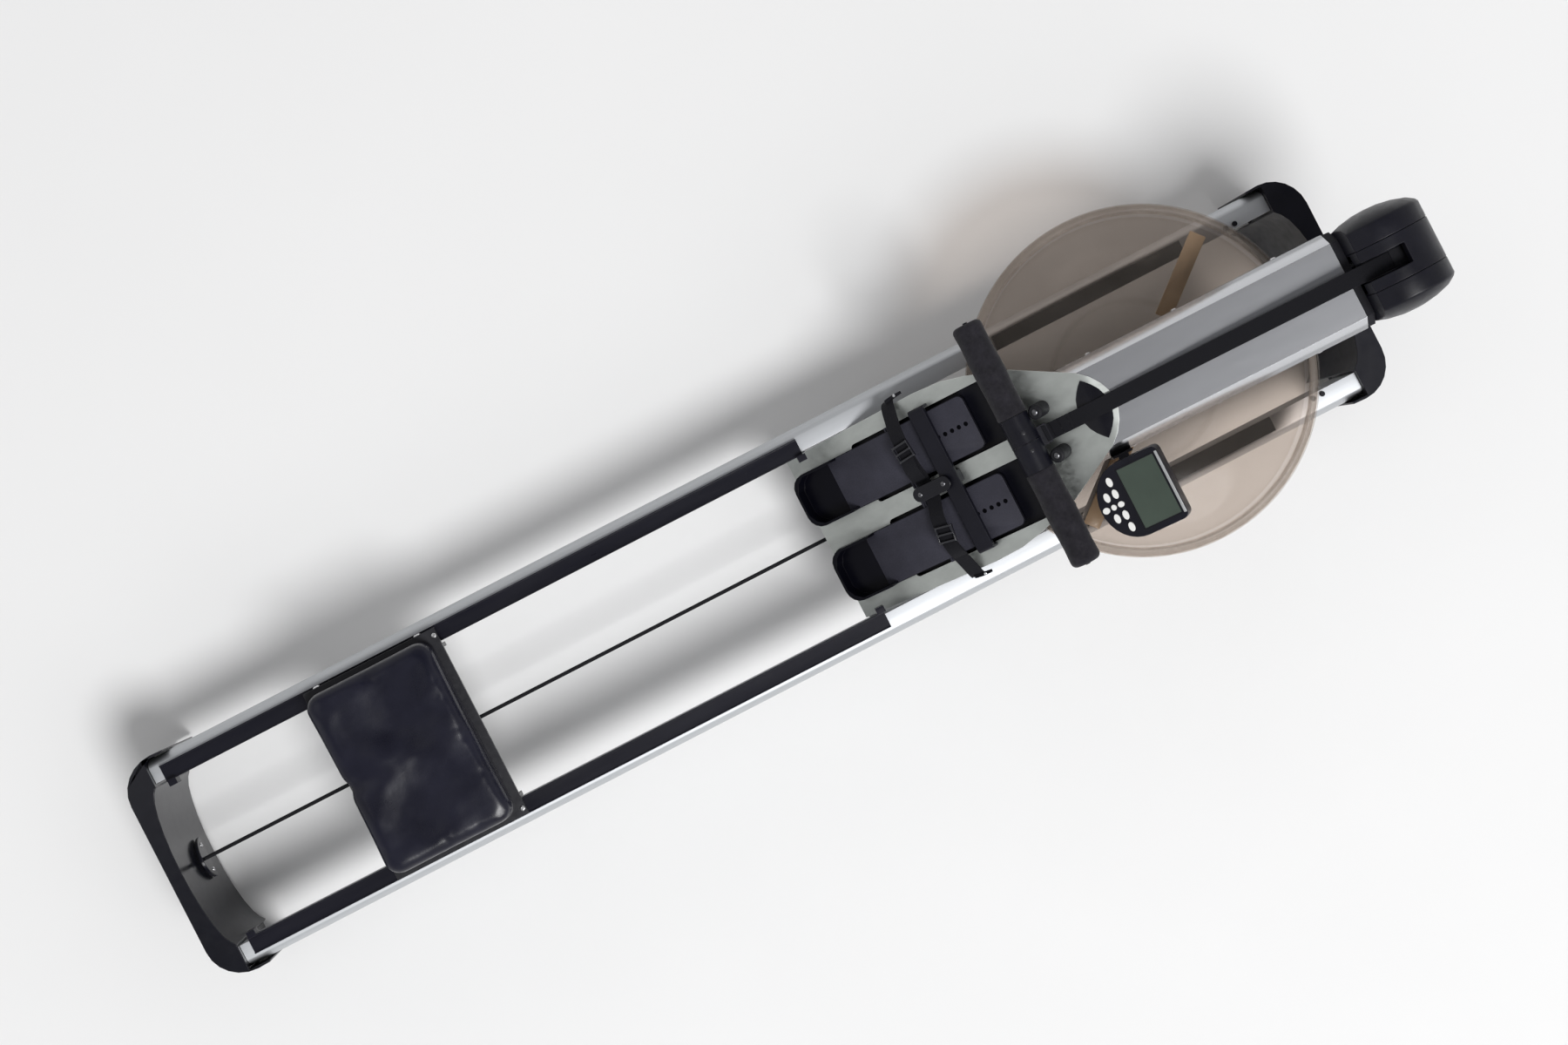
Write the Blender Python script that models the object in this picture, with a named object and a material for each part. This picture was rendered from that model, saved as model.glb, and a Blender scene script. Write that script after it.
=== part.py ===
"""Water-resistance rowing machine with two low aluminium rails.

Metres, +X forward to the pulley nose, +Y to the rower's left, +Z up.
The origin lies under the middle of the machine, on the floor.
"""
import math

import bmesh
import bpy
from mathutils import Vector

# ---------------------------------------------------------------- driving dimensions
GAP = 0.0003

REAR_FACE_X = -1.069
FRONT_FACE_X = 0.997
FRAME_BOTTOM_Z = 0.012
FRAME_TOP_Z = 0.212

RAIL_REAR_X = -1.0205
RAIL_FRONT_X = 0.944
RAIL_INNER_Y = 0.143
RAIL_FLAT_Y = 0.1675
RAIL_OUTER_Y = 0.182
RAIL_BOTTOM_Z = 0.108
RAIL_TOP_Z = 0.200
RAIL_WALL = 0.003

CORNER_FLAT_Y = 0.128
ARM_OUTER_Y = 0.187
ARM_CLEARANCE = 0.0008
REAR_ARM_TIP_X = -0.985
REAR_WALL_X = -1.046
REAR_CORNER = 0.062
REAR_WALL_LEAN = 0.0065
FRONT_ARM_TIP_X = 0.918
FRONT_WALL_X = 0.976
FRONT_CORNER = 0.057
FRONT_WALL_LEAN = -0.028
FOOT_STRIP_HALF = 0.110

STRUT_REAR_X = 0.9465
STRUT_FRONT_X = 0.9865
STRUT_HALF = 0.050
STRUT_BOTTOM_Z = 0.060
STRUT_TOP_Z = 0.361
STRUT_WALL = 0.003

WHEEL_X = 0.971
WHEEL_Y = 0.142
WHEEL_Z = 0.036
WHEEL_RADIUS = 0.024
WHEEL_HALF_WIDTH = 0.0115
WHEEL_AXLE_RADIUS = 0.006
WHEEL_EDGE = 0.003
WELL_REAR = 0.028
WELL_HALF_WIDTH = 0.0130
WELL_TOP_Z = 0.064
AXLE_CHANNEL_HALF = 0.009

RUNNER_REAR_X = -1.003
RUNNER_FRONT_X = 0.117
RUNNER_INNER_Y = 0.1378
RUNNER_OUTER_Y = 0.1652
TRACK_Z = 0.2043

PLATE_REAR_X = 0.0903
PLATE_REAR_Z = 0.140
PLATE_TILT = math.radians(30.8)
PLATE_LENGTH = 0.505
PLATE_THICKNESS = 0.003
WINDOW_REAR = 0.115
WINDOW_FRONT = 0.400
WINDOW_INNER_Y = 0.0158
WINDOW_OUTER_Y = 0.1160
FOOT_Y = 0.066

HEEL_START = 0.005
HEEL_LENGTH = 0.3225
HEEL_WIDTH = 0.089
PAD_TOP = 0.0063
CUP_END = 0.085
CUP_WALL = 0.004
CUP_HEIGHT = 0.030
KEY_REAR = 0.215
KEY_FRONT = 0.318
KEY_HALF = 0.034
KEY_DEPTH = 0.014
PEG_HOLE_RADIUS = 0.0036
PEG_HOLE_FIRST = 0.2609
PEG_HOLE_PITCH = 0.0128
PEG_HOLES = 5

TOE_BAR_REAR = 0.238
TOE_BAR_FRONT = 0.266
TOE_BAR_HALF = 0.122
TOE_BAR_BOTTOM = 0.0125
TOE_BAR_TOP = 0.0205
CLAMP_X = 0.2206
CLAMP_HALF_LENGTH = 0.034
CLAMP_HALF_WIDTH = 0.0118
CLAMP_TOP = 0.029
FOOT_STRAP_REAR = 0.196
FOOT_STRAP_FRONT = 0.2205
FOOT_STRAP_THICKNESS = 0.002

POST_X = 0.4327
POST_Y = 0.036
POST_RADIUS = 0.0115
POST_HEIGHT = 0.036

BEAM_TILT = math.radians(8.7)
BEAM_FLAT_Y = 0.060
BEAM_SIDE_Y = 0.0765
BEAM_CHAMFER = 0.022
BEAM_DEPTH = 0.070
BEAM_WALL = 0.004
BEAM_FRONT_X = 0.929

NOSE_X = 0.995
NOSE_Z = 0.455
NOSE_RADIUS = 0.074
NOSE_REAR_X = 0.9415
NOSE_INNER_RADIUS = 0.056
NOSE_INNER_HALF = 0.0300
NOSE_CENTRE_Y = 0.0322
NOSE_SLOT_HALF = 0.0152
NOSE_SLOT_FRONT_X = 1.0037
NOSE_SLOT_Z = 0.455
RETURN_SLOT_FRONT_X = 0.994
RETURN_SLOT_BOTTOM_Z = 0.386
RETURN_SLOT_TOP_Z = 0.43
PULLEY_RADIUS = 0.0453
PULLEY_FLANGE_RADIUS = 0.0485

STRAP_WIDTH = 0.0255
STRAP_THICKNESS = 0.0015

TANK_X = 0.631
TANK_RADIUS = 0.272
TANK_WALL = 0.004
TANK_SHELL_RIM_Z = 0.2620
TANK_LID_RIM_Z = 0.2653
WATER_LEVEL_Z = 0.2560
WATER_WELL_RADIUS = 0.2470
WATER_WELL_Z = 0.2345
TANK_PAD_REAR_X = 0.463
TANK_PAD_FRONT_X = 0.7935
TANK_PAD_TOP_Z = 0.2046
CAP_X = 0.751
CAP_HOLE_RADIUS = 0.0130
SHAFT_RADIUS = 0.006
HUB_RADIUS = 0.018
BLADE_INNER = 0.100
BLADE_OUTER = 0.238
BLADE_THICKNESS = 0.003
BLADE_FLANGE = 0.0245
BLADE_BOTTOM_Z = 0.2380
BLADE_TOP_Z = 0.2860
PADDLE_ANGLE = 40
DRUM_RADIUS = 0.030
DRUM_FLANGE_RADIUS = 0.036

HANDLE_X = 0.4146
HANDLE_Z = 0.3727
HANDLE_HALF = 0.199
GRIP_RADIUS = 0.0245
SLEEVE_RADIUS = 0.023
SLEEVE_HALF = 0.0445
BAR_RADIUS = 0.011

SEAT_X = -0.6355
SEAT_LENGTH = 0.221
SEAT_HALF_WIDTH = 0.157
SEAT_BOTTOM_Z = 0.252
SEAT_TOP_Z = 0.296
SEAT_WHEEL_RADIUS = 0.0185
SEAT_WHEEL_SPACING = 0.176
SEAT_WHEEL_Y = 0.152
SEAT_WHEEL_HALF_WIDTH = 0.0090
SEAT_AXLE_RADIUS = 0.0040
SEAT_BORE_RADIUS = 0.0043
CARRIAGE_HALF_WIDTH = 0.1615
CARRIAGE_PLATE = 0.008
CARRIAGE_FRONT_REACH = 0.0105
FLANGE_INNER_Y = 0.1275
FLANGE_OUTER_Y = 0.1345
FLANGE_BOTTOM_Z = 0.2095

MONITOR_X = 0.534
MONITOR_Y = -0.1419
MONITOR_Z = 0.395
MONITOR_TILT = math.radians(24)
MONITOR_HALF_WIDTH = 0.0585
MONITOR_REAR = -0.063
MONITOR_FRONT = 0.054
CASE_BOTTOM = 0.006
CASE_TOP = 0.034
WINDOW_DEPTH = 0.002
SCREEN_REAR = -0.0145
SCREEN_FRONT = 0.0465
SCREEN_HALF = 0.0485
HINGE_HALF = 0.0225
HINGE_PIN_RADIUS = 0.0050
ARM_HALF_WIDTH = 0.008
ARM_BOTTOM_Z = 0.375
ARM_TOP_Z = 0.383
ARM_ROOT_HALF = 0.016
ARM_ROOT_BOTTOM_Z = 0.356
ARM_ROOT_THICKNESS = 0.004
BUTTON_DEPTH = 0.004
BUTTON_HEIGHT = 0.0017
BUTTONS = {
    "button_left": (-0.031, 0.0366, 0.0045, 0.0075),
    "button_upper_left": (-0.031, 0.0172, 0.0045, 0.0075),
    "button_lower_left": (-0.045, 0.0172, 0.0045, 0.0075),
    "button_arrow_front": (-0.0300, 0.0, 0.0050, 0.0045),
    "button_centre": (-0.0420, 0.0, 0.0040, 0.0045),
    "button_arrow_rear": (-0.0545, 0.0, 0.0055, 0.0050),
    "button_upper_right": (-0.031, -0.0172, 0.0045, 0.0075),
    "button_lower_right": (-0.045, -0.0172, 0.0045, 0.0075),
    "button_right": (-0.031, -0.0366, 0.0045, 0.0075),
}

CORD_RADIUS = 0.0032
CORD_ROUTE = [
    (0.628, -0.0345, 0.348), (0.580, -0.0325, 0.344), (0.520, -0.0200, 0.336),
    (0.465, -0.0090, 0.329), (0.420, -0.0030, 0.318), (0.375, -0.0005, 0.297),
    (0.330, 0.0, 0.263), (0.270, 0.0, 0.210), (0.210, 0.0, 0.158),
    (0.165, 0.0, 0.124), (0.130, 0.0, 0.110), (0.080, 0.0, 0.1065),
    (0.000, 0.0, 0.106), (-0.250, 0.0, 0.106), (-0.500, 0.0, 0.106),
    (-0.750, 0.0, 0.106), (-0.960, 0.0, 0.106), (-1.0320, 0.0, 0.106),
]
ANCHOR_X = -1.0385
ANCHOR_THICKNESS = 0.006

ROUND = 24
SMALL_ROUND = 16


# ---------------------------------------------------------------- helpers
def clear_scene():
    for item in list(bpy.data.objects):
        bpy.data.objects.remove(item, do_unlink=True)


def material(name, colour, roughness, metallic=0.0, alpha=1.0):
    finish = bpy.data.materials.new(name)
    finish.use_nodes = True
    shader = finish.node_tree.nodes["Principled BSDF"]
    shader.inputs["Base Color"].default_value = (*colour, 1.0)
    shader.inputs["Roughness"].default_value = roughness
    shader.inputs["Metallic"].default_value = metallic
    shader.inputs["Alpha"].default_value = alpha
    return finish


def place(name, shape, finish, location=(0, 0, 0), parent=None, smooth=False):
    """Turn a bmesh into a named object with outward faces."""
    bmesh.ops.recalc_face_normals(shape, faces=shape.faces)
    mesh = bpy.data.meshes.new(name)
    shape.to_mesh(mesh)
    shape.free()
    if smooth:
        mesh.shade_smooth()
        mesh.set_sharp_from_angle(angle=math.radians(35))
    mesh.materials.append(finish)
    item = bpy.data.objects.new(name, mesh)
    item.location = location
    item.parent = parent
    bpy.context.scene.collection.objects.link(item)
    return item


def frame(name, location, tilt=0.0, parent=None):
    """An empty whose local X leans up by tilt from the world's X."""
    item = bpy.data.objects.new(name, None)
    item.location = location
    item.rotation_euler = (0, -tilt, 0)
    item.parent = parent
    bpy.context.scene.collection.objects.link(item)
    return item


def to_axis(axis, along, first, second):
    if axis == "X":
        return (along, first, second)
    if axis == "Y":
        return (first, along, second)
    return (first, second, along)


def add_prism(shape, outline, axis, low, high):
    """Extrude a closed outline along an axis, from low to high."""
    ring_low = [shape.verts.new(to_axis(axis, low, a, b)) for a, b in outline]
    ring_high = [shape.verts.new(to_axis(axis, high, a, b)) for a, b in outline]
    join_rings(shape, ring_low, ring_high)
    shape.faces.new(ring_low)
    shape.faces.new(ring_high)


def join_rings(shape, first, second):
    count = len(first)
    for i in range(count):
        j = (i + 1) % count
        shape.faces.new((first[i], first[j], second[j], second[i]))


def prism(outline, axis, low, high):
    shape = bmesh.new()
    add_prism(shape, outline, axis, low, high)
    return shape


def hollow_prism(outer, inner, axis, low, high):
    """A tube with the given outer and inner outlines, open at both ends."""
    shape = bmesh.new()
    rings = []
    for outline in (outer, inner):
        for along in (low, high):
            rings.append([shape.verts.new(to_axis(axis, along, a, b)) for a, b in outline])
    outer_low, outer_high, inner_low, inner_high = rings
    join_rings(shape, outer_low, outer_high)
    join_rings(shape, inner_low, inner_high)
    join_rings(shape, outer_low, inner_low)
    join_rings(shape, outer_high, inner_high)
    return shape


def add_box(shape, low, high):
    outline = [(low[0], low[1]), (high[0], low[1]), (high[0], high[1]), (low[0], high[1])]
    add_prism(shape, outline, "Z", low[2], high[2])


def box(low, high):
    shape = bmesh.new()
    add_box(shape, low, high)
    return shape


def arc(centre, radii, start, end, steps):
    """Points on an ellipse from start to end degrees."""
    points = []
    for i in range(steps + 1):
        angle = math.radians(start + (end - start) * i / steps)
        points.append((centre[0] + radii[0] * math.cos(angle), centre[1] + radii[1] * math.sin(angle)))
    return points


def ellipse(centre, radii, steps):
    return arc(centre, radii, 0, 360, steps)[:-1]


def rounded_rectangle(low, high, radius, steps=4):
    points = []
    corners = [(high[0] - radius, high[1] - radius, 0), (low[0] + radius, high[1] - radius, 90),
               (low[0] + radius, low[1] + radius, 180), (high[0] - radius, low[1] + radius, 270)]
    for x, y, start in corners:
        points += arc((x, y), (radius, radius), start, start + 90, steps)
    return points


def add_lathe(shape, profile, axis="Z", centre=(0, 0, 0), steps=ROUND):
    """Turn a closed profile of (radius, height) points about an axis."""
    rings = []
    for radius, height in profile:
        ring = []
        for i in range(steps):
            angle = 2 * math.pi * i / steps
            first = radius * math.cos(angle)
            second = radius * math.sin(angle)
            point = Vector(to_axis(axis, height, first, second)) + Vector(centre)
            ring.append(shape.verts.new(point))
            if radius == 0:
                break
        rings.append(ring)
    for i, ring in enumerate(rings):
        following = rings[(i + 1) % len(rings)]
        if len(ring) == 1 and len(following) == 1:
            continue
        if len(ring) == 1 or len(following) == 1:
            tip, wide = (ring[0], following) if len(ring) == 1 else (following[0], ring)
            for j in range(steps):
                shape.faces.new((tip, wide[j], wide[(j + 1) % steps]))
        else:
            join_rings(shape, ring, following)


def lathe(profile, axis="Z", centre=(0, 0, 0), steps=ROUND):
    shape = bmesh.new()
    add_lathe(shape, profile, axis, centre, steps)
    return shape


def cylinder_profile(radius, low, high):
    return [(0, low), (radius, low), (radius, high), (0, high)]


def ring_profile(inner, outer, low, high):
    return [(inner, low), (outer, low), (outer, high), (inner, high)]


def combine(item, shape, operation, parent=None):
    """Cut or unite an object with a hidden helper solid."""
    name = item.name + "_" + operation.lower() + str(len(item.modifiers))
    helper = place(name, shape, item.data.materials[0], parent=parent)
    helper.hide_render = True
    helper.display_type = "WIRE"
    step = item.modifiers.new(operation.title(), "BOOLEAN")
    step.operation = operation
    step.solver = "EXACT"
    step.object = helper


# ---------------------------------------------------------------- rails and cross-members
def rail_outline(side, inset):
    """D-shaped section of a rail: flat inner wall and top, rounded outer side."""
    middle_z = (RAIL_TOP_Z + RAIL_BOTTOM_Z) / 2
    half_height = (RAIL_TOP_Z - RAIL_BOTTOM_Z) / 2 - inset
    bulge = RAIL_OUTER_Y - RAIL_FLAT_Y
    inner = RAIL_INNER_Y + inset
    points = [(inner, middle_z - half_height), (inner, middle_z + half_height)]
    points += arc((RAIL_FLAT_Y - inset, middle_z), (bulge, half_height), 90, -90, 8)
    return [(side * y, z) for y, z in points]


def build_rail(side, name):
    shape = hollow_prism(rail_outline(side, 0), rail_outline(side, RAIL_WALL), "X", RAIL_REAR_X,
                         RAIL_FRONT_X)
    place(name, shape, ALUMINIUM, smooth=True)


def build_runner(side, name):
    """Black seat track with two lips, clipped over the rail's inner edge, and its two end stops."""
    lip_top = TRACK_Z + 0.002
    lip = 0.002
    clip_bottom = 0.190
    rail_edge = RAIL_INNER_Y - GAP
    base = RAIL_TOP_Z + GAP
    outline = [(RUNNER_INNER_Y, clip_bottom), (rail_edge, clip_bottom), (rail_edge, base),
               (RUNNER_OUTER_Y, base), (RUNNER_OUTER_Y, lip_top), (RUNNER_OUTER_Y - lip, lip_top),
               (RUNNER_OUTER_Y - lip, TRACK_Z), (RUNNER_INNER_Y + lip, TRACK_Z),
               (RUNNER_INNER_Y + lip, lip_top), (RUNNER_INNER_Y, lip_top)]
    shape = prism([(side * y, z) for y, z in outline], "X", RUNNER_REAR_X, RUNNER_FRONT_X)
    runner = place(name, shape, BLACK_PLASTIC)
    stop_length = 0.014
    stop_y = sorted((side * 0.1285, side * (RUNNER_INNER_Y + 0.001)))
    for start in (RUNNER_REAR_X + 0.004, RUNNER_FRONT_X - stop_length + 0.003):
        stop = box((start, stop_y[0], 0.192), (start + stop_length, stop_y[1], 0.216))
        combine(runner, stop, "UNION")


def crossmember_outline(direction, face_x, end_x, arm_tip_x, wall_x, corner):
    """Plan of a cross-member: flat face, rounded corners, arms round the rails, hollowed inner wall."""
    arm_inner_y = RAIL_OUTER_Y + ARM_CLEARANCE
    outer = [(face_x, 0.0), (face_x, CORNER_FLAT_Y)]
    steps = 6
    for i in range(1, steps + 1):
        angle = math.radians(90 * i / steps)
        x = face_x - direction * corner * (1 - math.cos(angle))
        outer.append((x, CORNER_FLAT_Y + (ARM_OUTER_Y - CORNER_FLAT_Y) * math.sin(angle)))
    outer += [(arm_tip_x, ARM_OUTER_Y - 0.001), (arm_tip_x, arm_inner_y), (end_x, arm_inner_y),
              (end_x, RAIL_INNER_Y - 0.002)]
    wall = [(end_x, RAIL_INNER_Y - 0.0055)]
    wall_steps = 6
    for i in range(1, wall_steps + 1):
        angle = math.radians(90 * i / wall_steps)
        x = end_x + (wall_x - end_x) * math.sin(angle)
        wall.append((x, (RAIL_INNER_Y - 0.009) * math.cos(angle)))
    return outer, wall


def build_crossmember(name, direction, face_x, end_x, arm_tip_x, wall_x, corner, lean):
    """A cross-member whose inner wall leans by the given amount from top to floor."""
    outer, wall = crossmember_outline(direction, face_x, end_x, arm_tip_x, wall_x, corner)
    rings = []
    for z, shift in ((FRAME_BOTTOM_Z, lean), (FRAME_TOP_Z, 0.0)):
        half = [(x, y) for x, y in outer] + [(x + shift, y) for x, y in wall]
        left = half
        right = [(x, -y) for x, y in reversed(half[1:-1])]
        rings.append([(x, y, z) for x, y in left + right])
    shape = bmesh.new()
    low, high = [[shape.verts.new(point) for point in ring] for ring in rings]
    join_rings(shape, low, high)
    shape.faces.new(low)
    shape.faces.new(high)
    return place(name, shape, BLACK_PLASTIC)


def build_frame():
    for side, label in ((1, "left"), (-1, "right")):
        build_rail(side, "rail_" + label)
        build_runner(side, "runner_" + label)
    build_crossmember("rear_crossmember", -1, REAR_FACE_X, RAIL_REAR_X - GAP, REAR_ARM_TIP_X, REAR_WALL_X,
                      REAR_CORNER, REAR_WALL_LEAN)
    front = build_crossmember("front_crossmember", 1, FRONT_FACE_X, RAIL_FRONT_X + GAP, FRONT_ARM_TIP_X,
                              FRONT_WALL_X, FRONT_CORNER, FRONT_WALL_LEAN)
    pocket = box((STRUT_REAR_X - GAP, -STRUT_HALF - GAP, STRUT_BOTTOM_Z - GAP),
                 (STRUT_FRONT_X + GAP, STRUT_HALF + GAP, FRAME_TOP_Z + 0.01))
    combine(front, pocket, "DIFFERENCE")
    below = FRAME_BOTTOM_Z - 0.01
    for side in (-1, 1):
        low_y, high_y = sorted((side * (WHEEL_Y - WELL_HALF_WIDTH), side * (WHEEL_Y + WELL_HALF_WIDTH)))
        well = box((WHEEL_X - WELL_REAR, low_y, below), (FRONT_FACE_X + 0.01, high_y, WELL_TOP_Z))
        combine(front, well, "DIFFERENCE")
    channel = box((WHEEL_X - AXLE_CHANNEL_HALF, -WHEEL_Y, below),
                  (WHEEL_X + AXLE_CHANNEL_HALF, WHEEL_Y, WHEEL_Z + AXLE_CHANNEL_HALF))
    combine(front, channel, "DIFFERENCE")
    build_feet()
    build_strut()


def build_feet():
    """A rubber strip under each cross-member."""
    for name, x, depth in (("rear_foot", -1.0645, 0.018), ("front_foot", 0.9815, 0.013)):
        outline = rounded_rectangle((x, -FOOT_STRIP_HALF), (x + depth, FOOT_STRIP_HALF), 0.005, 2)
        place(name, prism(outline, "Z", 0.0, FRAME_BOTTOM_Z - GAP), RUBBER)


def build_strut():
    """Upright box section that carries the nose, standing in the front cross-member."""
    outer = rounded_rectangle((STRUT_REAR_X, -STRUT_HALF), (STRUT_FRONT_X, STRUT_HALF), 0.006, 2)
    inner = rounded_rectangle((STRUT_REAR_X + STRUT_WALL, -STRUT_HALF + STRUT_WALL),
                              (STRUT_FRONT_X - STRUT_WALL, STRUT_HALF - STRUT_WALL), 0.004, 2)
    shape = hollow_prism(outer, inner, "Z", STRUT_BOTTOM_Z, STRUT_TOP_Z)
    place("front_strut", shape, ALUMINIUM)


def wheelset_profile(wheel_y, half, radius, axle_radius, edge):
    """Two wheels on one axle, as a turned profile along the axle."""
    outer = [(0, wheel_y + half), (radius - edge, wheel_y + half), (radius, wheel_y + half - edge),
             (radius, wheel_y - half + edge), (radius - edge, wheel_y - half), (axle_radius, wheel_y - half)]
    return [(r, -y) for r, y in outer] + [(r, y) for r, y in reversed(outer)]


def build_transport_wheels():
    profile = wheelset_profile(WHEEL_Y, WHEEL_HALF_WIDTH, WHEEL_RADIUS, WHEEL_AXLE_RADIUS, WHEEL_EDGE)
    place("transport_wheels", lathe(profile, "Y", steps=24), RUBBER, location=(WHEEL_X, 0, WHEEL_Z),
          smooth=True)


# ---------------------------------------------------------------- footboard
def plate_half_width(x):
    """Half-width of the footplate at a distance up its slope."""
    stations = [(0.0, 0.1395), (0.25, 0.1445), (0.30, 0.1415), (0.3385, 0.133), (0.358, 0.1266),
                (0.411, 0.1097), (PLATE_LENGTH, BEAM_FLAT_Y)]
    for (x0, w0), (x1, w1) in zip(stations, stations[1:]):
        if x <= x1:
            return w0 + (w1 - w0) * (x - x0) / (x1 - x0)
    return BEAM_FLAT_Y


def ridge_point(along, y, height):
    """A point near the ridge: along is measured over the bend from the footplate's rear edge."""
    slope = Vector((math.cos(PLATE_TILT), 0, math.sin(PLATE_TILT)))
    slope_up = Vector((-math.sin(PLATE_TILT), 0, math.cos(PLATE_TILT)))
    level = Vector((math.cos(BEAM_TILT), 0, math.sin(BEAM_TILT)))
    level_up = Vector((-math.sin(BEAM_TILT), 0, math.cos(BEAM_TILT)))
    start = Vector((PLATE_REAR_X, y, PLATE_REAR_Z))
    ridge = start + slope * PLATE_LENGTH
    past = along - PLATE_LENGTH
    if past < 0:
        return start + slope * along + slope_up * height
    if past > 0:
        return ridge + level * past + level_up * height
    bisector = (slope_up + level_up).normalized()
    return ridge + bisector * height / bisector.dot(slope_up)


def bent_sheet(stations, low, high):
    """A sheet over the ridge, from (along, half-width) stations."""
    shape = bmesh.new()
    rows = []
    for along, half in stations:
        row = []
        for y, height in ((-half, low), (half, low), (half, high), (-half, high)):
            row.append(shape.verts.new(ridge_point(along, y, height)))
        rows.append(row)
    for row, following in zip(rows, rows[1:]):
        join_rings(shape, row, following)
    shape.faces.new(rows[0])
    shape.faces.new(rows[-1])
    return shape


def build_footplate(foot):
    stations = [(x, plate_half_width(x)) for x in (0, 0.25, 0.30, 0.3385, 0.358, 0.411, PLATE_LENGTH)]
    tab = 0.032
    for part in (0.45, 0.8, 1.0):
        stations.append((PLATE_LENGTH + tab * part, BEAM_FLAT_Y * math.sqrt(1.06 - part)))
    plate = place("footplate", bent_sheet(stations, -PLATE_THICKNESS, 0), SATIN_ALUMINIUM)
    windows = bmesh.new()
    for side in (-1, 1):
        low_y, high_y = sorted((side * WINDOW_INNER_Y, side * WINDOW_OUTER_Y))
        outline = rounded_rectangle((WINDOW_REAR, low_y), (WINDOW_FRONT, high_y), 0.006, 3)
        add_prism(windows, outline, "Z", -0.01, 0.01)
    combine(plate, windows, "DIFFERENCE", foot)


def build_foot_tracks(foot):
    """One moulding of two black trays under the footplate's windows, joined by a web at their rear."""
    rim = 0.0028
    floor = 0.002
    depth = 0.0135
    top = -PLATE_THICKNESS - GAP
    bottom = top - depth
    rear = WINDOW_REAR - rim
    front = WINDOW_FRONT + rim
    inner = WINDOW_INNER_Y - rim
    outer = WINDOW_OUTER_Y + rim
    web = 0.230
    outline = [(rear, -outer), (front, -outer), (front, -inner), (web, -inner), (web, inner),
               (front, inner), (front, outer), (rear, outer)]
    trays = place("foot_tracks", prism(outline, "Z", bottom, top), BLACK_PLASTIC, parent=foot)
    for side in (-1, 1):
        low_y, high_y = sorted((side * WINDOW_INNER_Y, side * WINDOW_OUTER_Y))
        pocket = box((WINDOW_REAR, low_y, bottom + floor), (WINDOW_FRONT, high_y, top + 0.01))
        combine(trays, pocket, "DIFFERENCE", foot)
    under_web = box((rear - 0.01, -inner, bottom - 0.01), (web + 0.01, inner, top - 0.003))
    combine(trays, under_web, "DIFFERENCE", foot)


def build_heel_rest(side, foot):
    """A foot pad with a raised heel cup, guided by a key in the window below it."""
    name = "heel_rest_" + ("left" if side > 0 else "right")
    centre = side * FOOT_Y
    half = HEEL_WIDTH / 2
    end = HEEL_START + HEEL_LENGTH
    outline = rounded_rectangle((HEEL_START, centre - half), (end, centre + half), 0.010, 3)
    pad = place(name, prism(outline, "Z", GAP, PAD_TOP), BLACK_PLASTIC, parent=foot)
    corner = 0.024
    outer = [(CUP_END, half)] + arc((HEEL_START + corner, half - corner), (corner, corner), 90, 180, 4)
    inner = [(HEEL_START + CUP_WALL, half - 0.026), (HEEL_START + 0.012, half - CUP_WALL - 0.008),
             (HEEL_START + corner, half - CUP_WALL), (CUP_END, half - CUP_WALL)]
    ring = [(x, centre + y) for x, y in outer] + [(x, centre - y) for x, y in reversed(outer)]
    hollow = [(x, centre - y) for x, y in reversed(inner)] + [(x, centre + y) for x, y in inner]
    combine(pad, prism(ring + hollow, "Z", PAD_TOP - 0.002, CUP_HEIGHT), "UNION", foot)
    key = box((KEY_REAR, centre - KEY_HALF, -KEY_DEPTH), (KEY_FRONT, centre + KEY_HALF, 0.002))
    combine(pad, key, "UNION", foot)
    holes = bmesh.new()
    for i in range(PEG_HOLES):
        add_lathe(holes, cylinder_profile(PEG_HOLE_RADIUS, -0.02, 0.02), "Z",
                  (PEG_HOLE_FIRST + PEG_HOLE_PITCH * i, centre, 0), 12)
    combine(pad, holes, "DIFFERENCE", foot)


def build_toe_bar(foot):
    """Bar across both foot pads, on a foot at each end and one in the middle."""
    end_foot = TOE_BAR_HALF - 0.0045
    middle = 0.010
    half = [(middle, TOE_BAR_BOTTOM), (end_foot, TOE_BAR_BOTTOM), (end_foot, GAP), (TOE_BAR_HALF, GAP),
            (TOE_BAR_HALF, TOE_BAR_TOP - 0.003), (TOE_BAR_HALF - 0.003, TOE_BAR_TOP)]
    outline = [(middle, GAP)] + half + [(-y, z) for y, z in reversed(half)] + [(-middle, GAP)]
    place("toe_bar", prism(outline, "X", TOE_BAR_REAR, TOE_BAR_FRONT), BLACK_PLASTIC, parent=foot)


def build_strap_clamp(foot):
    """Oval clamp on the middle strip, over the toe bar and the inner ends of the foot straps."""
    straight = CLAMP_HALF_LENGTH - CLAMP_HALF_WIDTH
    outline = arc((CLAMP_X + straight, 0), (CLAMP_HALF_WIDTH, CLAMP_HALF_WIDTH), -90, 90, 8)
    outline += arc((CLAMP_X - straight, 0), (CLAMP_HALF_WIDTH, CLAMP_HALF_WIDTH), 90, 270, 8)
    shape = prism(outline, "Z", TOE_BAR_TOP + GAP, CLAMP_TOP)
    clamp = place("strap_clamp", shape, BLACK_PLASTIC, parent=foot)
    block = box((CLAMP_X - CLAMP_HALF_LENGTH + 0.006, -0.009, GAP), (TOE_BAR_REAR - GAP, 0.009, 0.023))
    combine(clamp, block, "UNION", foot)


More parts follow.
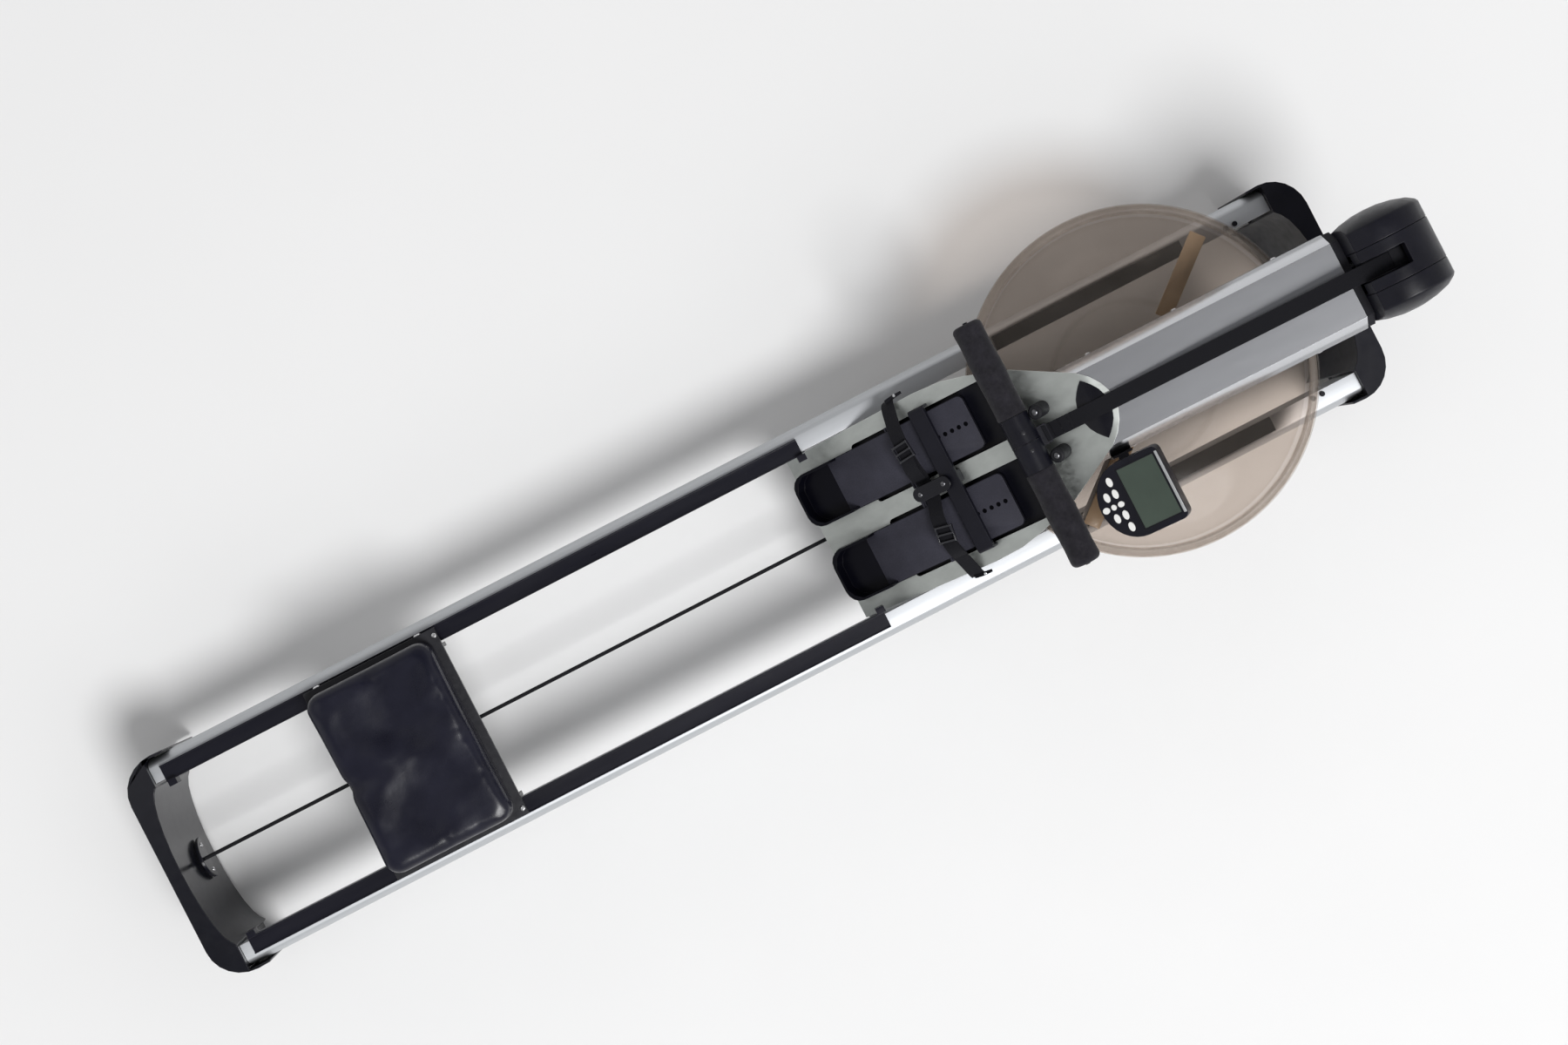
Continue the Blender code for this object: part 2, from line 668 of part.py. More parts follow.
def band(path, thickness):
    """Closed outline of a strip of constant thickness along a path of (a, b) points."""
    left = []
    right = []
    for i, point in enumerate(path):
        before = Vector(path[max(i - 1, 0)])
        after = Vector(path[min(i + 1, len(path) - 1)])
        direction = (after - before).normalized()
        normal = Vector((-direction.y, direction.x)) * thickness / 2
        left.append(tuple(Vector(point) + normal))
        right.append(tuple(Vector(point) - normal))
    return left + right[::-1]


def foot_strap_path():
    """Height of a foot strap over the pad, from the plate's edge to the clamp."""
    return [(0.1525, -0.008), (0.1500, 0.000), (0.1440, 0.006), (0.128, 0.014), (0.105, 0.0245),
            (0.085, 0.0285), (0.060, 0.0285), (0.040, 0.024), (0.024, 0.0165), (0.0105, 0.012)]


def build_foot_straps(foot):
    for side, label in ((1, "left"), (-1, "right")):
        path = [(side * y, z) for y, z in foot_strap_path()]
        shape = prism(band(path, FOOT_STRAP_THICKNESS), "X", FOOT_STRAP_REAR, FOOT_STRAP_FRONT)
        place("foot_strap_" + label, shape, WEBBING, parent=foot)


def build_handle_rests(foot):
    """Two rubber posts, square to the footplate, that the handle leans on."""
    profile = [(0, GAP), (POST_RADIUS, GAP), (POST_RADIUS, POST_HEIGHT - 0.003),
               (POST_RADIUS - 0.003, POST_HEIGHT), (0, POST_HEIGHT)]
    for side, label in ((1, "left"), (-1, "right")):
        place("handle_rest_" + label, lathe(profile, "Z", steps=20), RUBBER,
              location=(POST_X, side * POST_Y, 0), parent=foot, smooth=True)


def build_strap_guide():
    """Lens-shaped black insert over the ridge, where the pull strap rubs."""
    half = 0.047
    reach = 0.0255
    stations = []
    steps = 8
    for i in range(steps + 1):
        part = -1 + 2 * i / steps
        width = half * math.sqrt(max(1.02 - abs(part), 0))
        stations.append((PLATE_LENGTH + reach * part, width))
    place("strap_guide", bent_sheet(stations, GAP, 0.0016), BLACK_PLASTIC)


def build_crossbar():
    """Cross tube between the rails that carries the footplate's rear edge."""
    half = RAIL_INNER_Y - GAP
    outer = [(0.096, 0.1165), (0.124, 0.1165), (0.124, 0.1365), (0.096, 0.1365)]
    inner = [(0.098, 0.1185), (0.122, 0.1185), (0.122, 0.1345), (0.098, 0.1345)]
    place("foot_crossbar", hollow_prism(outer, inner, "Y", -half, half), ALUMINIUM)


# ---------------------------------------------------------------- beam and nose
def beam_origin():
    return ridge_point(PLATE_LENGTH, 0, -PLATE_THICKNESS - GAP)


def build_beam():
    """Folded aluminium channel, open below, cut to the footplate's slope at its rear end."""
    outer = [(-BEAM_SIDE_Y, -BEAM_DEPTH), (-BEAM_SIDE_Y, -BEAM_CHAMFER), (-BEAM_FLAT_Y, 0),
             (BEAM_FLAT_Y, 0), (BEAM_SIDE_Y, -BEAM_CHAMFER), (BEAM_SIDE_Y, -BEAM_DEPTH)]
    inner_side = BEAM_SIDE_Y - BEAM_WALL
    inner_flat = BEAM_FLAT_Y - 0.0016
    inner = [(inner_side, -BEAM_DEPTH), (inner_side, -BEAM_CHAMFER - 0.0014), (inner_flat, -BEAM_WALL),
             (-inner_flat, -BEAM_WALL), (-inner_side, -BEAM_CHAMFER - 0.0014), (-inner_side, -BEAM_DEPTH)]
    origin = beam_origin()
    length = (BEAM_FRONT_X - origin.x) / math.cos(BEAM_TILT)
    holder = frame("beam_frame", origin, BEAM_TILT)
    beam = place("beam", prism(outer + inner, "X", -0.075, length + 0.03), ALUMINIUM, parent=holder)
    trim = bmesh.new()
    add_box(trim, (BEAM_FRONT_X, -0.2, 0.2), (BEAM_FRONT_X + 0.2, 0.2, 0.7))
    combine(beam, trim, "DIFFERENCE")
    slope = frame("beam_cut_frame", (PLATE_REAR_X, 0, PLATE_REAR_Z), PLATE_TILT)
    above = box((0.1, -0.2, -PLATE_THICKNESS - GAP), (PLATE_LENGTH - 0.0008, 0.2, 0.1))
    combine(beam, above, "DIFFERENCE", slope)


def nose_outline():
    """Side view of the nose: a disc cut flat where it meets the beam."""
    rear = NOSE_REAR_X - NOSE_X
    start = math.degrees(math.acos(rear / NOSE_RADIUS))
    return arc((NOSE_X, NOSE_Z), (NOSE_RADIUS, NOSE_RADIUS), -start, start, 28)


def build_nose():
    casing = place("nose_casing", prism(nose_outline(), "Y", -NOSE_CENTRE_Y, NOSE_CENTRE_Y), BLACK_PLASTIC,
                   smooth=True)
    hollow = lathe(cylinder_profile(NOSE_INNER_RADIUS, -NOSE_INNER_HALF, NOSE_INNER_HALF), "Y",
                   (NOSE_X, 0, NOSE_Z), ROUND)
    combine(casing, hollow, "DIFFERENCE")
    bore = lathe(cylinder_profile(SHAFT_RADIUS + GAP, -0.05, 0.05), "Y", (NOSE_X, 0, NOSE_Z), SMALL_ROUND)
    combine(casing, bore, "DIFFERENCE")
    behind = NOSE_REAR_X - 0.04
    openings = box((behind, -NOSE_SLOT_HALF, NOSE_SLOT_Z), (NOSE_SLOT_FRONT_X, NOSE_SLOT_HALF, 0.56))
    add_box(openings, (behind, -NOSE_SLOT_HALF, RETURN_SLOT_BOTTOM_Z),
            (RETURN_SLOT_FRONT_X, NOSE_SLOT_HALF + 0.004, RETURN_SLOT_TOP_Z))
    combine(casing, openings, "DIFFERENCE")
    for side, label in ((1, "left"), (-1, "right")):
        place("nose_cheek_" + label, cheek(side), BLACK_PLASTIC, smooth=True)


def cheek(side):
    """Domed side cover of the nose, cut flat where it meets the beam."""
    start = NOSE_CENTRE_Y + GAP
    profile = [(0, side * start), (NOSE_RADIUS, side * start), (NOSE_RADIUS, side * 0.058),
               (NOSE_RADIUS - 0.003, side * 0.0625), (0.060, side * 0.0700), (0.040, side * 0.0765),
               (0.020, side * 0.0802), (0, side * 0.0812)]
    shape = lathe(profile, "Y", (NOSE_X, 0, NOSE_Z), ROUND)
    geometry = shape.verts[:] + shape.edges[:] + shape.faces[:]
    bmesh.ops.bisect_plane(shape, geom=geometry, plane_co=(NOSE_REAR_X, 0, 0), plane_no=(-1, 0, 0),
                           clear_outer=True)
    open_edges = [edge for edge in shape.edges if edge.is_boundary]
    bmesh.ops.contextual_create(shape, geom=open_edges)
    return shape


def build_pulley():
    """Flanged strap pulley, in one piece with the axle that turns in the casing's bores."""
    edge = 0.0150
    seat = 0.0134
    axle_end = NOSE_CENTRE_Y - 0.0004
    half = [(PULLEY_RADIUS, seat), (PULLEY_FLANGE_RADIUS, seat), (PULLEY_FLANGE_RADIUS, edge),
            (SHAFT_RADIUS, edge),
            (SHAFT_RADIUS, axle_end), (0, axle_end)]
    profile = [(r, -y) for r, y in reversed(half)] + half
    place("nose_pulley", lathe(profile, "Y"), BLACK_PLASTIC, location=(NOSE_X, 0, NOSE_Z), smooth=True)


def strap_radius():
    return PULLEY_RADIUS + 0.0007 + STRAP_THICKNESS / 2


def strap_tangent_angle():
    """Angle on the pulley, from +X, where the strap coming from the ridge touches it."""
    ridge = ridge_point(PLATE_LENGTH, 0, 0.0031)
    offset = Vector((NOSE_X - ridge.x, NOSE_Z - ridge.z))
    return math.atan2(offset.y, offset.x) + math.pi / 2 + math.asin(strap_radius() / offset.length)


def build_pull_strap():
    """Upper run of the strap, from the handle over the ridge to the pulley."""
    ridge = ridge_point(PLATE_LENGTH, 0, 0.0031)
    angle = strap_tangent_angle()
    touch = (NOSE_X + strap_radius() * math.cos(angle), NOSE_Z + strap_radius() * math.sin(angle))
    path = [(HANDLE_X + 0.0382, HANDLE_Z + 0.001), (HANDLE_X + 0.060, 0.3842), (ridge.x - 0.012, 0.3995),
            (ridge.x, ridge.z + 0.0005), (ridge.x + 0.012, ridge.z + 0.0025)]
    steps = 6
    start = path[-1]
    for i in range(1, steps + 1):
        part = i / steps
        path.append((start[0] + (touch[0] - start[0]) * part, start[1] + (touch[1] - start[1]) * part))
    half = STRAP_WIDTH / 2
    place("pull_strap", prism(band(path, STRAP_THICKNESS), "Y", -half, half), WEBBING)


def build_drive_strap():
    """Lower run: round the pulley, back under the beam, with a quarter turn onto the drum."""
    angle = strap_tangent_angle()
    centres = []
    steps = 18
    start = angle - 0.012
    end = -math.pi / 2 + 0.05
    for i in range(steps + 1):
        turn = start + (end - start) * i / steps
        centre = (NOSE_X + strap_radius() * math.cos(turn), 0.0, NOSE_Z + strap_radius() * math.sin(turn))
        centres.append((Vector(centre), 0.0))
    drum_y = DRUM_RADIUS + STRAP_THICKNESS
    last = Vector((0.640, drum_y, 0.3565))
    first = centres[-1][0]
    runs = 10
    for i in range(1, runs + 1):
        part = i / runs
        centre = first.lerp(last, part)
        centre.y = drum_y * part ** 2
        centres.append((centre, part * math.pi / 2))
    shape = bmesh.new()
    rings = []
    half = STRAP_WIDTH / 2
    for i, (centre, twist) in enumerate(centres):
        before = centres[max(i - 1, 0)][0]
        after = centres[min(i + 1, len(centres) - 1)][0]
        direction = (after - before).normalized()
        across = Vector((0, 1, 0))
        upward = direction.cross(across).normalized()
        wide = across * math.cos(twist) + upward * math.sin(twist)
        thin = direction.cross(wide).normalized() * STRAP_THICKNESS / 2
        corners = [centre + wide * half + thin, centre - wide * half + thin,
                   centre - wide * half - thin, centre + wide * half - thin]
        rings.append([shape.verts.new(corner) for corner in corners])
    for ring, following in zip(rings, rings[1:]):
        join_rings(shape, ring, following)
    shape.faces.new(rings[0])
    shape.faces.new(rings[-1])
    place("drive_strap", shape, WEBBING)


# ---------------------------------------------------------------- tank and rotor
def lower_profile(inset):
    """Lower tank shell, from its middle to its rim, moved inwards by inset."""
    points = [(0.0, 0.1470), (0.060, 0.1505), (0.100, 0.1620), (0.125, 0.1780), (0.1405, 0.2050),
              (0.180, 0.2085), (0.220, 0.2180), (0.247, 0.2340), (0.260, 0.2540)]
    shifted = []
    for radius, z in points:
        slim = inset * 0.45 if radius > 0 else 0.0
        shifted.append((max(radius - slim, 0.0), z + inset))
    return shifted


def upper_profile(inset):
    """Upper tank shell, from its rim to its middle, moved inwards by inset."""
    points = [(0.263, 0.2760), (0.258, 0.2860), (0.245, 0.2940), (0.220, 0.3020), (0.180, 0.3100),
              (0.120, 0.3160), (0.0240, 0.3190)]
    return [(radius - inset * 0.4, z - inset) for radius, z in points]


def build_tank():
    rim_inner = 0.2570
    lower = lower_profile(0) + [(TANK_RADIUS, 0.2565), (TANK_RADIUS, TANK_SHELL_RIM_Z)]
    lower += [(rim_inner, TANK_SHELL_RIM_Z)] + lower_profile(TANK_WALL)[::-1]
    place("tank_lower", lathe(lower, "Z", steps=40), SMOKED, location=(TANK_X, 0, 0), smooth=True)
    seal = ring_profile(rim_inner + 0.002, TANK_RADIUS - 0.001, TANK_SHELL_RIM_Z + GAP, TANK_LID_RIM_Z - GAP)
    place("tank_seal", lathe(seal, "Z", steps=40), RUBBER, location=(TANK_X, 0, 0), smooth=True)
    upper = [(TANK_RADIUS, TANK_LID_RIM_Z), (TANK_RADIUS, 0.2710), (0.2640, 0.2720)] + upper_profile(0)
    upper += [(0.0085, 0.3190), (0.0085, 0.3150)] + upper_profile(TANK_WALL)[::-1]
    upper += [(rim_inner, TANK_LID_RIM_Z)]
    shell = place("tank_upper", lathe(upper, "Z", steps=40), SMOKED, location=(TANK_X, 0, 0), smooth=True)
    hole = lathe(cylinder_profile(CAP_HOLE_RADIUS, 0.29, 0.34), "Z", (CAP_X, 0, 0), SMALL_ROUND)
    combine(shell, hole, "DIFFERENCE")
    cap = [(0, 0.3080), (0.0125, 0.3080), (0.0125, 0.3185), (0.0190, 0.3185), (0.0190, 0.3250),
           (0.0160, 0.3275), (0, 0.3275)]
    place("fill_cap", lathe(cap, "Z", steps=20), BLACK_PLASTIC, location=(CAP_X, 0, 0), smooth=True)
    bearing = [(SHAFT_RADIUS + GAP, 0.3193), (0.0230, 0.3193), (0.0230, 0.3260), (0.0150, 0.3370),
               (SHAFT_RADIUS + GAP, 0.3370)]
    place("rotor_bearing", lathe(bearing, "Z", steps=24), BLACK_PLASTIC, location=(TANK_X, 0, 0),
          smooth=True)
    build_water()
    for side, label in ((1, "left"), (-1, "right")):
        low_y, high_y = sorted((side * (RAIL_INNER_Y + 0.0005), side * (RAIL_FLAT_Y - 0.0005)))
        pad = box((TANK_PAD_REAR_X, low_y, RAIL_TOP_Z + GAP), (TANK_PAD_FRONT_X, high_y, TANK_PAD_TOP_Z))
        place("tank_pad_" + label, pad, RUBBER)


def build_water():
    """Water in the lower shell, with a round well where the paddle sweeps."""
    clearance = TANK_WALL + 0.0006
    bottom = [point for point in lower_profile(clearance) if 0.03 < point[0] < 0.255]
    hub = HUB_RADIUS + 0.002
    profile = [(hub, 0.1540)] + bottom + [(0.2540, WATER_LEVEL_Z), (WATER_WELL_RADIUS, WATER_LEVEL_Z),
                                          (WATER_WELL_RADIUS, WATER_WELL_Z), (hub, WATER_WELL_Z)]
    place("water", lathe(profile, "Z", steps=30), WATER, location=(TANK_X, 0, 0), smooth=True)


def build_rotor():
    """Upright shaft with two paddle blades, each an upright fin with a flat top."""
    hub = [(0, 0.1560), (SHAFT_RADIUS, 0.1560), (SHAFT_RADIUS, 0.2370), (HUB_RADIUS, 0.2370),
           (HUB_RADIUS, 0.2900), (SHAFT_RADIUS, 0.2900), (SHAFT_RADIUS, 0.3850), (0, 0.3850)]
    side = BLADE_THICKNESS / 2
    flange_z = BLADE_TOP_Z - BLADE_THICKNESS
    paddle = place("rotor", lathe(hub, "Z", steps=24), PADDLE, location=(TANK_X, 0, 0))
    for turn in range(2):
        arm = frame("paddle_arm_" + str(turn), (TANK_X, 0, 0))
        arm.rotation_euler = (0, 0, math.radians(PADDLE_ANGLE + 180 * turn))
        section = [(-side, BLADE_BOTTOM_Z), (side, BLADE_BOTTOM_Z), (side, flange_z),
                   (BLADE_FLANGE, flange_z), (BLADE_FLANGE, BLADE_TOP_Z), (-side, BLADE_TOP_Z)]
        blade = prism(section, "X", BLADE_INNER, BLADE_OUTER)
        combine(paddle, blade, "UNION", arm)
        spoke = prism([(-0.004, 0.2580), (0.004, 0.2580), (0.004, 0.2700), (-0.004, 0.2700)], "X",
                      0.0150, 0.104)
        combine(paddle, spoke, "UNION", arm)


def build_drum():
    bore = SHAFT_RADIUS + GAP
    wide = DRUM_FLANGE_RADIUS
    profile = [(bore, 0.3400), (wide, 0.3400), (wide, 0.3435), (DRUM_RADIUS, 0.3435),
               (DRUM_RADIUS, 0.3715), (wide, 0.3715), (wide, 0.3750), (bore, 0.3750)]
    place("strap_drum", lathe(profile, "Z"), BLACK_PLASTIC, location=(TANK_X, 0, 0), smooth=True)


# ---------------------------------------------------------------- recoil cord
def smooth_route(points, step):
    """Evenly spaced points on a Catmull-Rom curve through the route."""
    vectors = [Vector(point) for point in points]
    dense = []
    for i in range(len(vectors) - 1):
        p1, p2 = vectors[i], vectors[i + 1]
        p0 = vectors[i - 1] if i > 0 else 2 * p1 - p2
        p3 = vectors[i + 2] if i + 2 < len(vectors) else 2 * p2 - p1
        for k in range(12):
            t = k / 12
            dense.append(0.5 * (2 * p1 + (p2 - p0) * t + (2 * p0 - 5 * p1 + 4 * p2 - p3) * t ** 2
                                + (3 * p1 - p0 - 3 * p2 + p3) * t ** 3))
    dense.append(vectors[-1])
    picked = [dense[0]]
    for point in dense[1:-1]:
        if (point - picked[-1]).length >= step:
            picked.append(point)
    return picked + [dense[-1]]


def build_recoil_cord():
    curve = bpy.data.curves.new("recoil_cord", "CURVE")
    curve.dimensions = "3D"
    curve.bevel_depth = CORD_RADIUS
    curve.bevel_resolution = 2
    curve.use_fill_caps = True
    points = smooth_route(CORD_ROUTE, 0.022)
    spline = curve.splines.new("POLY")
    spline.points.add(len(points) - 1)
    for target, point in zip(spline.points, points):
        target.co = (*point, 1.0)
    curve.materials.append(WEBBING)
    item = bpy.data.objects.new("recoil_cord", curve)
    bpy.context.scene.collection.objects.link(item)


def build_cord_anchor():
    """Half-round plate on the rear cross-member's inner wall that holds the cord's end."""
    outline = arc((0, 0.075), (0.035, 0.045), 0, 180, 12)
    place("cord_anchor", prism(outline, "X", ANCHOR_X, ANCHOR_X + ANCHOR_THICKNESS), BLACK_PLASTIC)


# ---------------------------------------------------------------- handle
def build_handle(holder):
    """A turned core with a thick middle and a strap tongue, and a foam grip on each end."""
    nub = 0.0037
    core_end = HANDLE_HALF - 0.007
    half = [(SLEEVE_RADIUS, SLEEVE_HALF), (BAR_RADIUS, SLEEVE_HALF), (BAR_RADIUS, core_end), (nub, core_end),
            (nub, HANDLE_HALF + 0.003), (0, HANDLE_HALF + 0.003)]
    profile = [(r, -y) for r, y in reversed(half)] + half
    core = place("handle_core", lathe(profile, "Y", steps=28), BLACK_PLASTIC, parent=holder, smooth=True)
    tongue = box((0.015, -0.0150, -0.0045), (0.0375, 0.0150, 0.0055))
    combine(core, tongue, "UNION", holder)
    bore = BAR_RADIUS + GAP
    for side, label in ((1, "left"), (-1, "right")):
        start = side * (SLEEVE_HALF + GAP)
        end = side * HANDLE_HALF
        inner_end = side * (core_end + GAP)
        profile = [(bore, start), (GRIP_RADIUS, start), (GRIP_RADIUS, end - side * 0.006),
                   (GRIP_RADIUS - 0.002, end - side * 0.002), (GRIP_RADIUS - 0.006, end),
                   (nub + GAP, end), (nub + GAP, inner_end), (bore, inner_end)]
        place("handle_grip_" + label, lathe(profile, "Y", steps=28), FOAM, parent=holder, smooth=True)


# ---------------------------------------------------------------- seat
def build_seat(holder):
    half = SEAT_LENGTH / 2
    outline = rounded_rectangle((-half, -SEAT_HALF_WIDTH), (half, SEAT_HALF_WIDTH), 0.022, 4)
    place("seat_pad", prism(outline, "Z", SEAT_BOTTOM_Z, SEAT_TOP_Z), LEATHER, parent=holder)
    top = SEAT_BOTTOM_Z - GAP
    under = top - CARRIAGE_PLATE
    right = [(FLANGE_INNER_Y, under), (FLANGE_INNER_Y, FLANGE_BOTTOM_Z), (FLANGE_OUTER_Y, FLANGE_BOTTOM_Z),
             (FLANGE_OUTER_Y, under), (CARRIAGE_HALF_WIDTH, under), (CARRIAGE_HALF_WIDTH, top)]
    section = right + [(-y, z) for y, z in reversed(right)]
    shape = prism(section, "X", -half + 0.004, half + CARRIAGE_FRONT_REACH)
    carriage = place("seat_carriage", shape, BLACK_METAL, parent=holder)
    for end in (-1, 1):
        centre = (end * SEAT_WHEEL_SPACING / 2, 0, TRACK_Z + GAP + SEAT_WHEEL_RADIUS)
        bore = lathe(cylinder_profile(SEAT_BORE_RADIUS, -0.14, 0.14), "Y", centre, 12)
        combine(carriage, bore, "DIFFERENCE", holder)


def build_seat_wheels(seat):
    """Front and rear wheelsets, each of two wheels on one axle through the carriage."""
    profile = wheelset_profile(SEAT_WHEEL_Y, SEAT_WHEEL_HALF_WIDTH, SEAT_WHEEL_RADIUS, SEAT_AXLE_RADIUS,
                               0.002)
    for end, label in ((1, "front"), (-1, "rear")):
        centre = (end * SEAT_WHEEL_SPACING / 2, 0, TRACK_Z + GAP + SEAT_WHEEL_RADIUS)
        place("seat_wheels_" + label, lathe(profile, "Y", steps=24), WHEEL_PLASTIC, location=centre,
              parent=seat, smooth=True)


# ---------------------------------------------------------------- monitor
def case_outline(inset=0.0):
    """Plan of the monitor: square at the front, rounded towards the rower."""
    half = MONITOR_HALF_WIDTH - inset
    front = MONITOR_FRONT - inset
    corner = 0.009
    points = arc((front - corner, half - corner), (corner, corner), 0, 90, 3)
    points += arc((-0.012, 0), (-MONITOR_REAR - 0.012 - inset, half), 90, 270, 16)
    points += arc((front - corner, -half + corner), (corner, corner), -90, 0, 3)
    return points


def build_monitor(holder):
    case = place("monitor_case", prism(case_outline(), "Z", CASE_BOTTOM, CASE_TOP), BLACK_PLASTIC,
                 parent=holder)
    for y in (-0.0270, 0.0230):
        ear = box((-0.006, y, -0.0050), (0.006, y + 0.004, CASE_BOTTOM + 0.002))
        combine(case, ear, "UNION", holder)
    floor = CASE_TOP - WINDOW_DEPTH
    window = box((SCREEN_REAR - GAP, -SCREEN_HALF - GAP, floor),
                 (SCREEN_FRONT + GAP, SCREEN_HALF + GAP, CASE_TOP + 0.01))
    combine(case, window, "DIFFERENCE", holder)
    pockets = bmesh.new()
    for x, y, rx, ry in BUTTONS.values():
        add_prism(pockets, ellipse((x, y), (rx + GAP, ry + GAP), 14), "Z", CASE_TOP - BUTTON_DEPTH,
                  CASE_TOP + 0.01)
    combine(case, pockets, "DIFFERENCE", holder)
    screen = box((SCREEN_REAR, -SCREEN_HALF, floor + GAP), (SCREEN_FRONT, SCREEN_HALF, CASE_TOP - 0.0002))
    place("monitor_screen", screen, SCREEN, parent=holder)
    for name, (x, y, rx, ry) in BUTTONS.items():
        shape = prism(ellipse((0, 0), (rx, ry), 14), "Z", -BUTTON_DEPTH + 0.0018, BUTTON_HEIGHT)
        place(name, shape, BUTTON_WHITE, location=(x, y, CASE_TOP), parent=holder, smooth=True)


def build_monitor_arm():
    """Bracket from the beam's right side to the hinge pin under the monitor."""
    root_y = -BEAM_SIDE_Y - GAP
    pin_low = MONITOR_Y - HINGE_HALF
    pin_high = MONITOR_Y + HINGE_HALF
    web_low = pin_low + 0.004
    web_high = pin_high - 0.004
    web_half = 0.003
    arm = box((MONITOR_X - ARM_HALF_WIDTH, web_low, ARM_BOTTOM_Z),
              (MONITOR_X + ARM_HALF_WIDTH, root_y, ARM_TOP_Z))
    item = place("monitor_arm", arm, BLACK_METAL)
    pin = lathe(cylinder_profile(HINGE_PIN_RADIUS, pin_low, pin_high), "Y", (MONITOR_X, 0, MONITOR_Z),
                SMALL_ROUND)
    combine(item, pin, "UNION")
    web = box((MONITOR_X - web_half, web_low, ARM_TOP_Z - 0.002),
              (MONITOR_X + web_half, web_high, MONITOR_Z))
    combine(item, web, "UNION")
    root = box((MONITOR_X - ARM_ROOT_HALF, root_y - ARM_ROOT_THICKNESS, ARM_ROOT_BOTTOM_Z),
               (MONITOR_X + ARM_ROOT_HALF, root_y, ARM_TOP_Z))
    combine(item, root, "UNION")


# ---------------------------------------------------------------- build
clear_scene()
ALUMINIUM = material("aluminium", (0.72, 0.73, 0.75), 0.35, 1.0)
SATIN_ALUMINIUM = material("satin_aluminium", (0.55, 0.57, 0.55), 0.45, 1.0)
BLACK_METAL = material("black_metal", (0.03, 0.03, 0.035), 0.45, 0.6)
BLACK_PLASTIC = material("black_plastic", (0.03, 0.03, 0.035), 0.5)
WHEEL_PLASTIC = material("wheel_plastic", (0.10, 0.10, 0.11), 0.4)
RUBBER = material("rubber", (0.02, 0.02, 0.022), 0.75)
FOAM = material("foam_grip", (0.035, 0.033, 0.036), 0.9)
LEATHER = material("seat_skin", (0.025, 0.025, 0.032), 0.55)
WEBBING = material("webbing", (0.02, 0.02, 0.022), 0.9)
SMOKED = material("smoked_tank", (0.45, 0.38, 0.33), 0.1, 0.0, 0.45)
WATER = material("water", (0.75, 0.72, 0.66), 0.05, 0.0, 0.3)
PADDLE = material("paddle_plastic", (0.35, 0.25, 0.16), 0.3)
SCREEN = material("screen", (0.12, 0.17, 0.12), 0.25)
BUTTON_WHITE = material("button_white", (0.80, 0.80, 0.78), 0.45)

foot_frame = frame("foot_frame", (PLATE_REAR_X, 0, PLATE_REAR_Z), PLATE_TILT)
handle_frame = frame("handle_frame", (HANDLE_X, 0, HANDLE_Z))
seat_frame = frame("seat_frame", (SEAT_X, 0, 0))
monitor_frame = frame("monitor_frame", (MONITOR_X, MONITOR_Y, MONITOR_Z), MONITOR_TILT)

build_frame()
build_transport_wheels()
build_footplate(foot_frame)
build_foot_tracks(foot_frame)
for foot_side in (1, -1):
    build_heel_rest(foot_side, foot_frame)
build_toe_bar(foot_frame)
build_strap_clamp(foot_frame)
build_foot_straps(foot_frame)
build_handle_rests(foot_frame)
build_strap_guide()
build_crossbar()
build_beam()
build_nose()
build_pulley()
build_pull_strap()
build_drive_strap()
build_tank()
build_rotor()
build_drum()
build_recoil_cord()
build_cord_anchor()
build_handle(handle_frame)
build_seat(seat_frame)
build_seat_wheels(seat_frame)
build_monitor(monitor_frame)
build_monitor_arm()
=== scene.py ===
import math

import bmesh
import bpy
from mathutils import Matrix, Vector, noise


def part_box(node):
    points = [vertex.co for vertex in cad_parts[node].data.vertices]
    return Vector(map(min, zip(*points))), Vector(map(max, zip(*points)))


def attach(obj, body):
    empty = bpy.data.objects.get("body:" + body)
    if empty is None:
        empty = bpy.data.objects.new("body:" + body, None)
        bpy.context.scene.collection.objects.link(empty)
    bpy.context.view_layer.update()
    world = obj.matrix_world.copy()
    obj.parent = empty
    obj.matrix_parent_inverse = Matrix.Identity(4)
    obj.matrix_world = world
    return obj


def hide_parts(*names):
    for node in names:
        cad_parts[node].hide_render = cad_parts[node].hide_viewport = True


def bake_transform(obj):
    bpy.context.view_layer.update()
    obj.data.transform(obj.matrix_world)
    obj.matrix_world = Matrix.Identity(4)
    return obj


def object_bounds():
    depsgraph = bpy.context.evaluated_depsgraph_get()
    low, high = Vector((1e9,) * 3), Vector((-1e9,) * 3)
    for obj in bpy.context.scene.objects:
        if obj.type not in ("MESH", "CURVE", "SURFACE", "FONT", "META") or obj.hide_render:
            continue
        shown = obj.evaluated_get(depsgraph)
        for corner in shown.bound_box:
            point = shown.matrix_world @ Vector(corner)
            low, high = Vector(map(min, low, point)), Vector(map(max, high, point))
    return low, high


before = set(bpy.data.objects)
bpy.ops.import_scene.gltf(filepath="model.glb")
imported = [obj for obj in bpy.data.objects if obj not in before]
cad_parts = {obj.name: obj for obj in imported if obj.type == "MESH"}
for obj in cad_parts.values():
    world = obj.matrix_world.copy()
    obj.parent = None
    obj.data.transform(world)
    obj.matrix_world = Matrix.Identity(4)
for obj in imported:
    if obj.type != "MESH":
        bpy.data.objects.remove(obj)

CAD_BOX = [list(corner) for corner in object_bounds()]

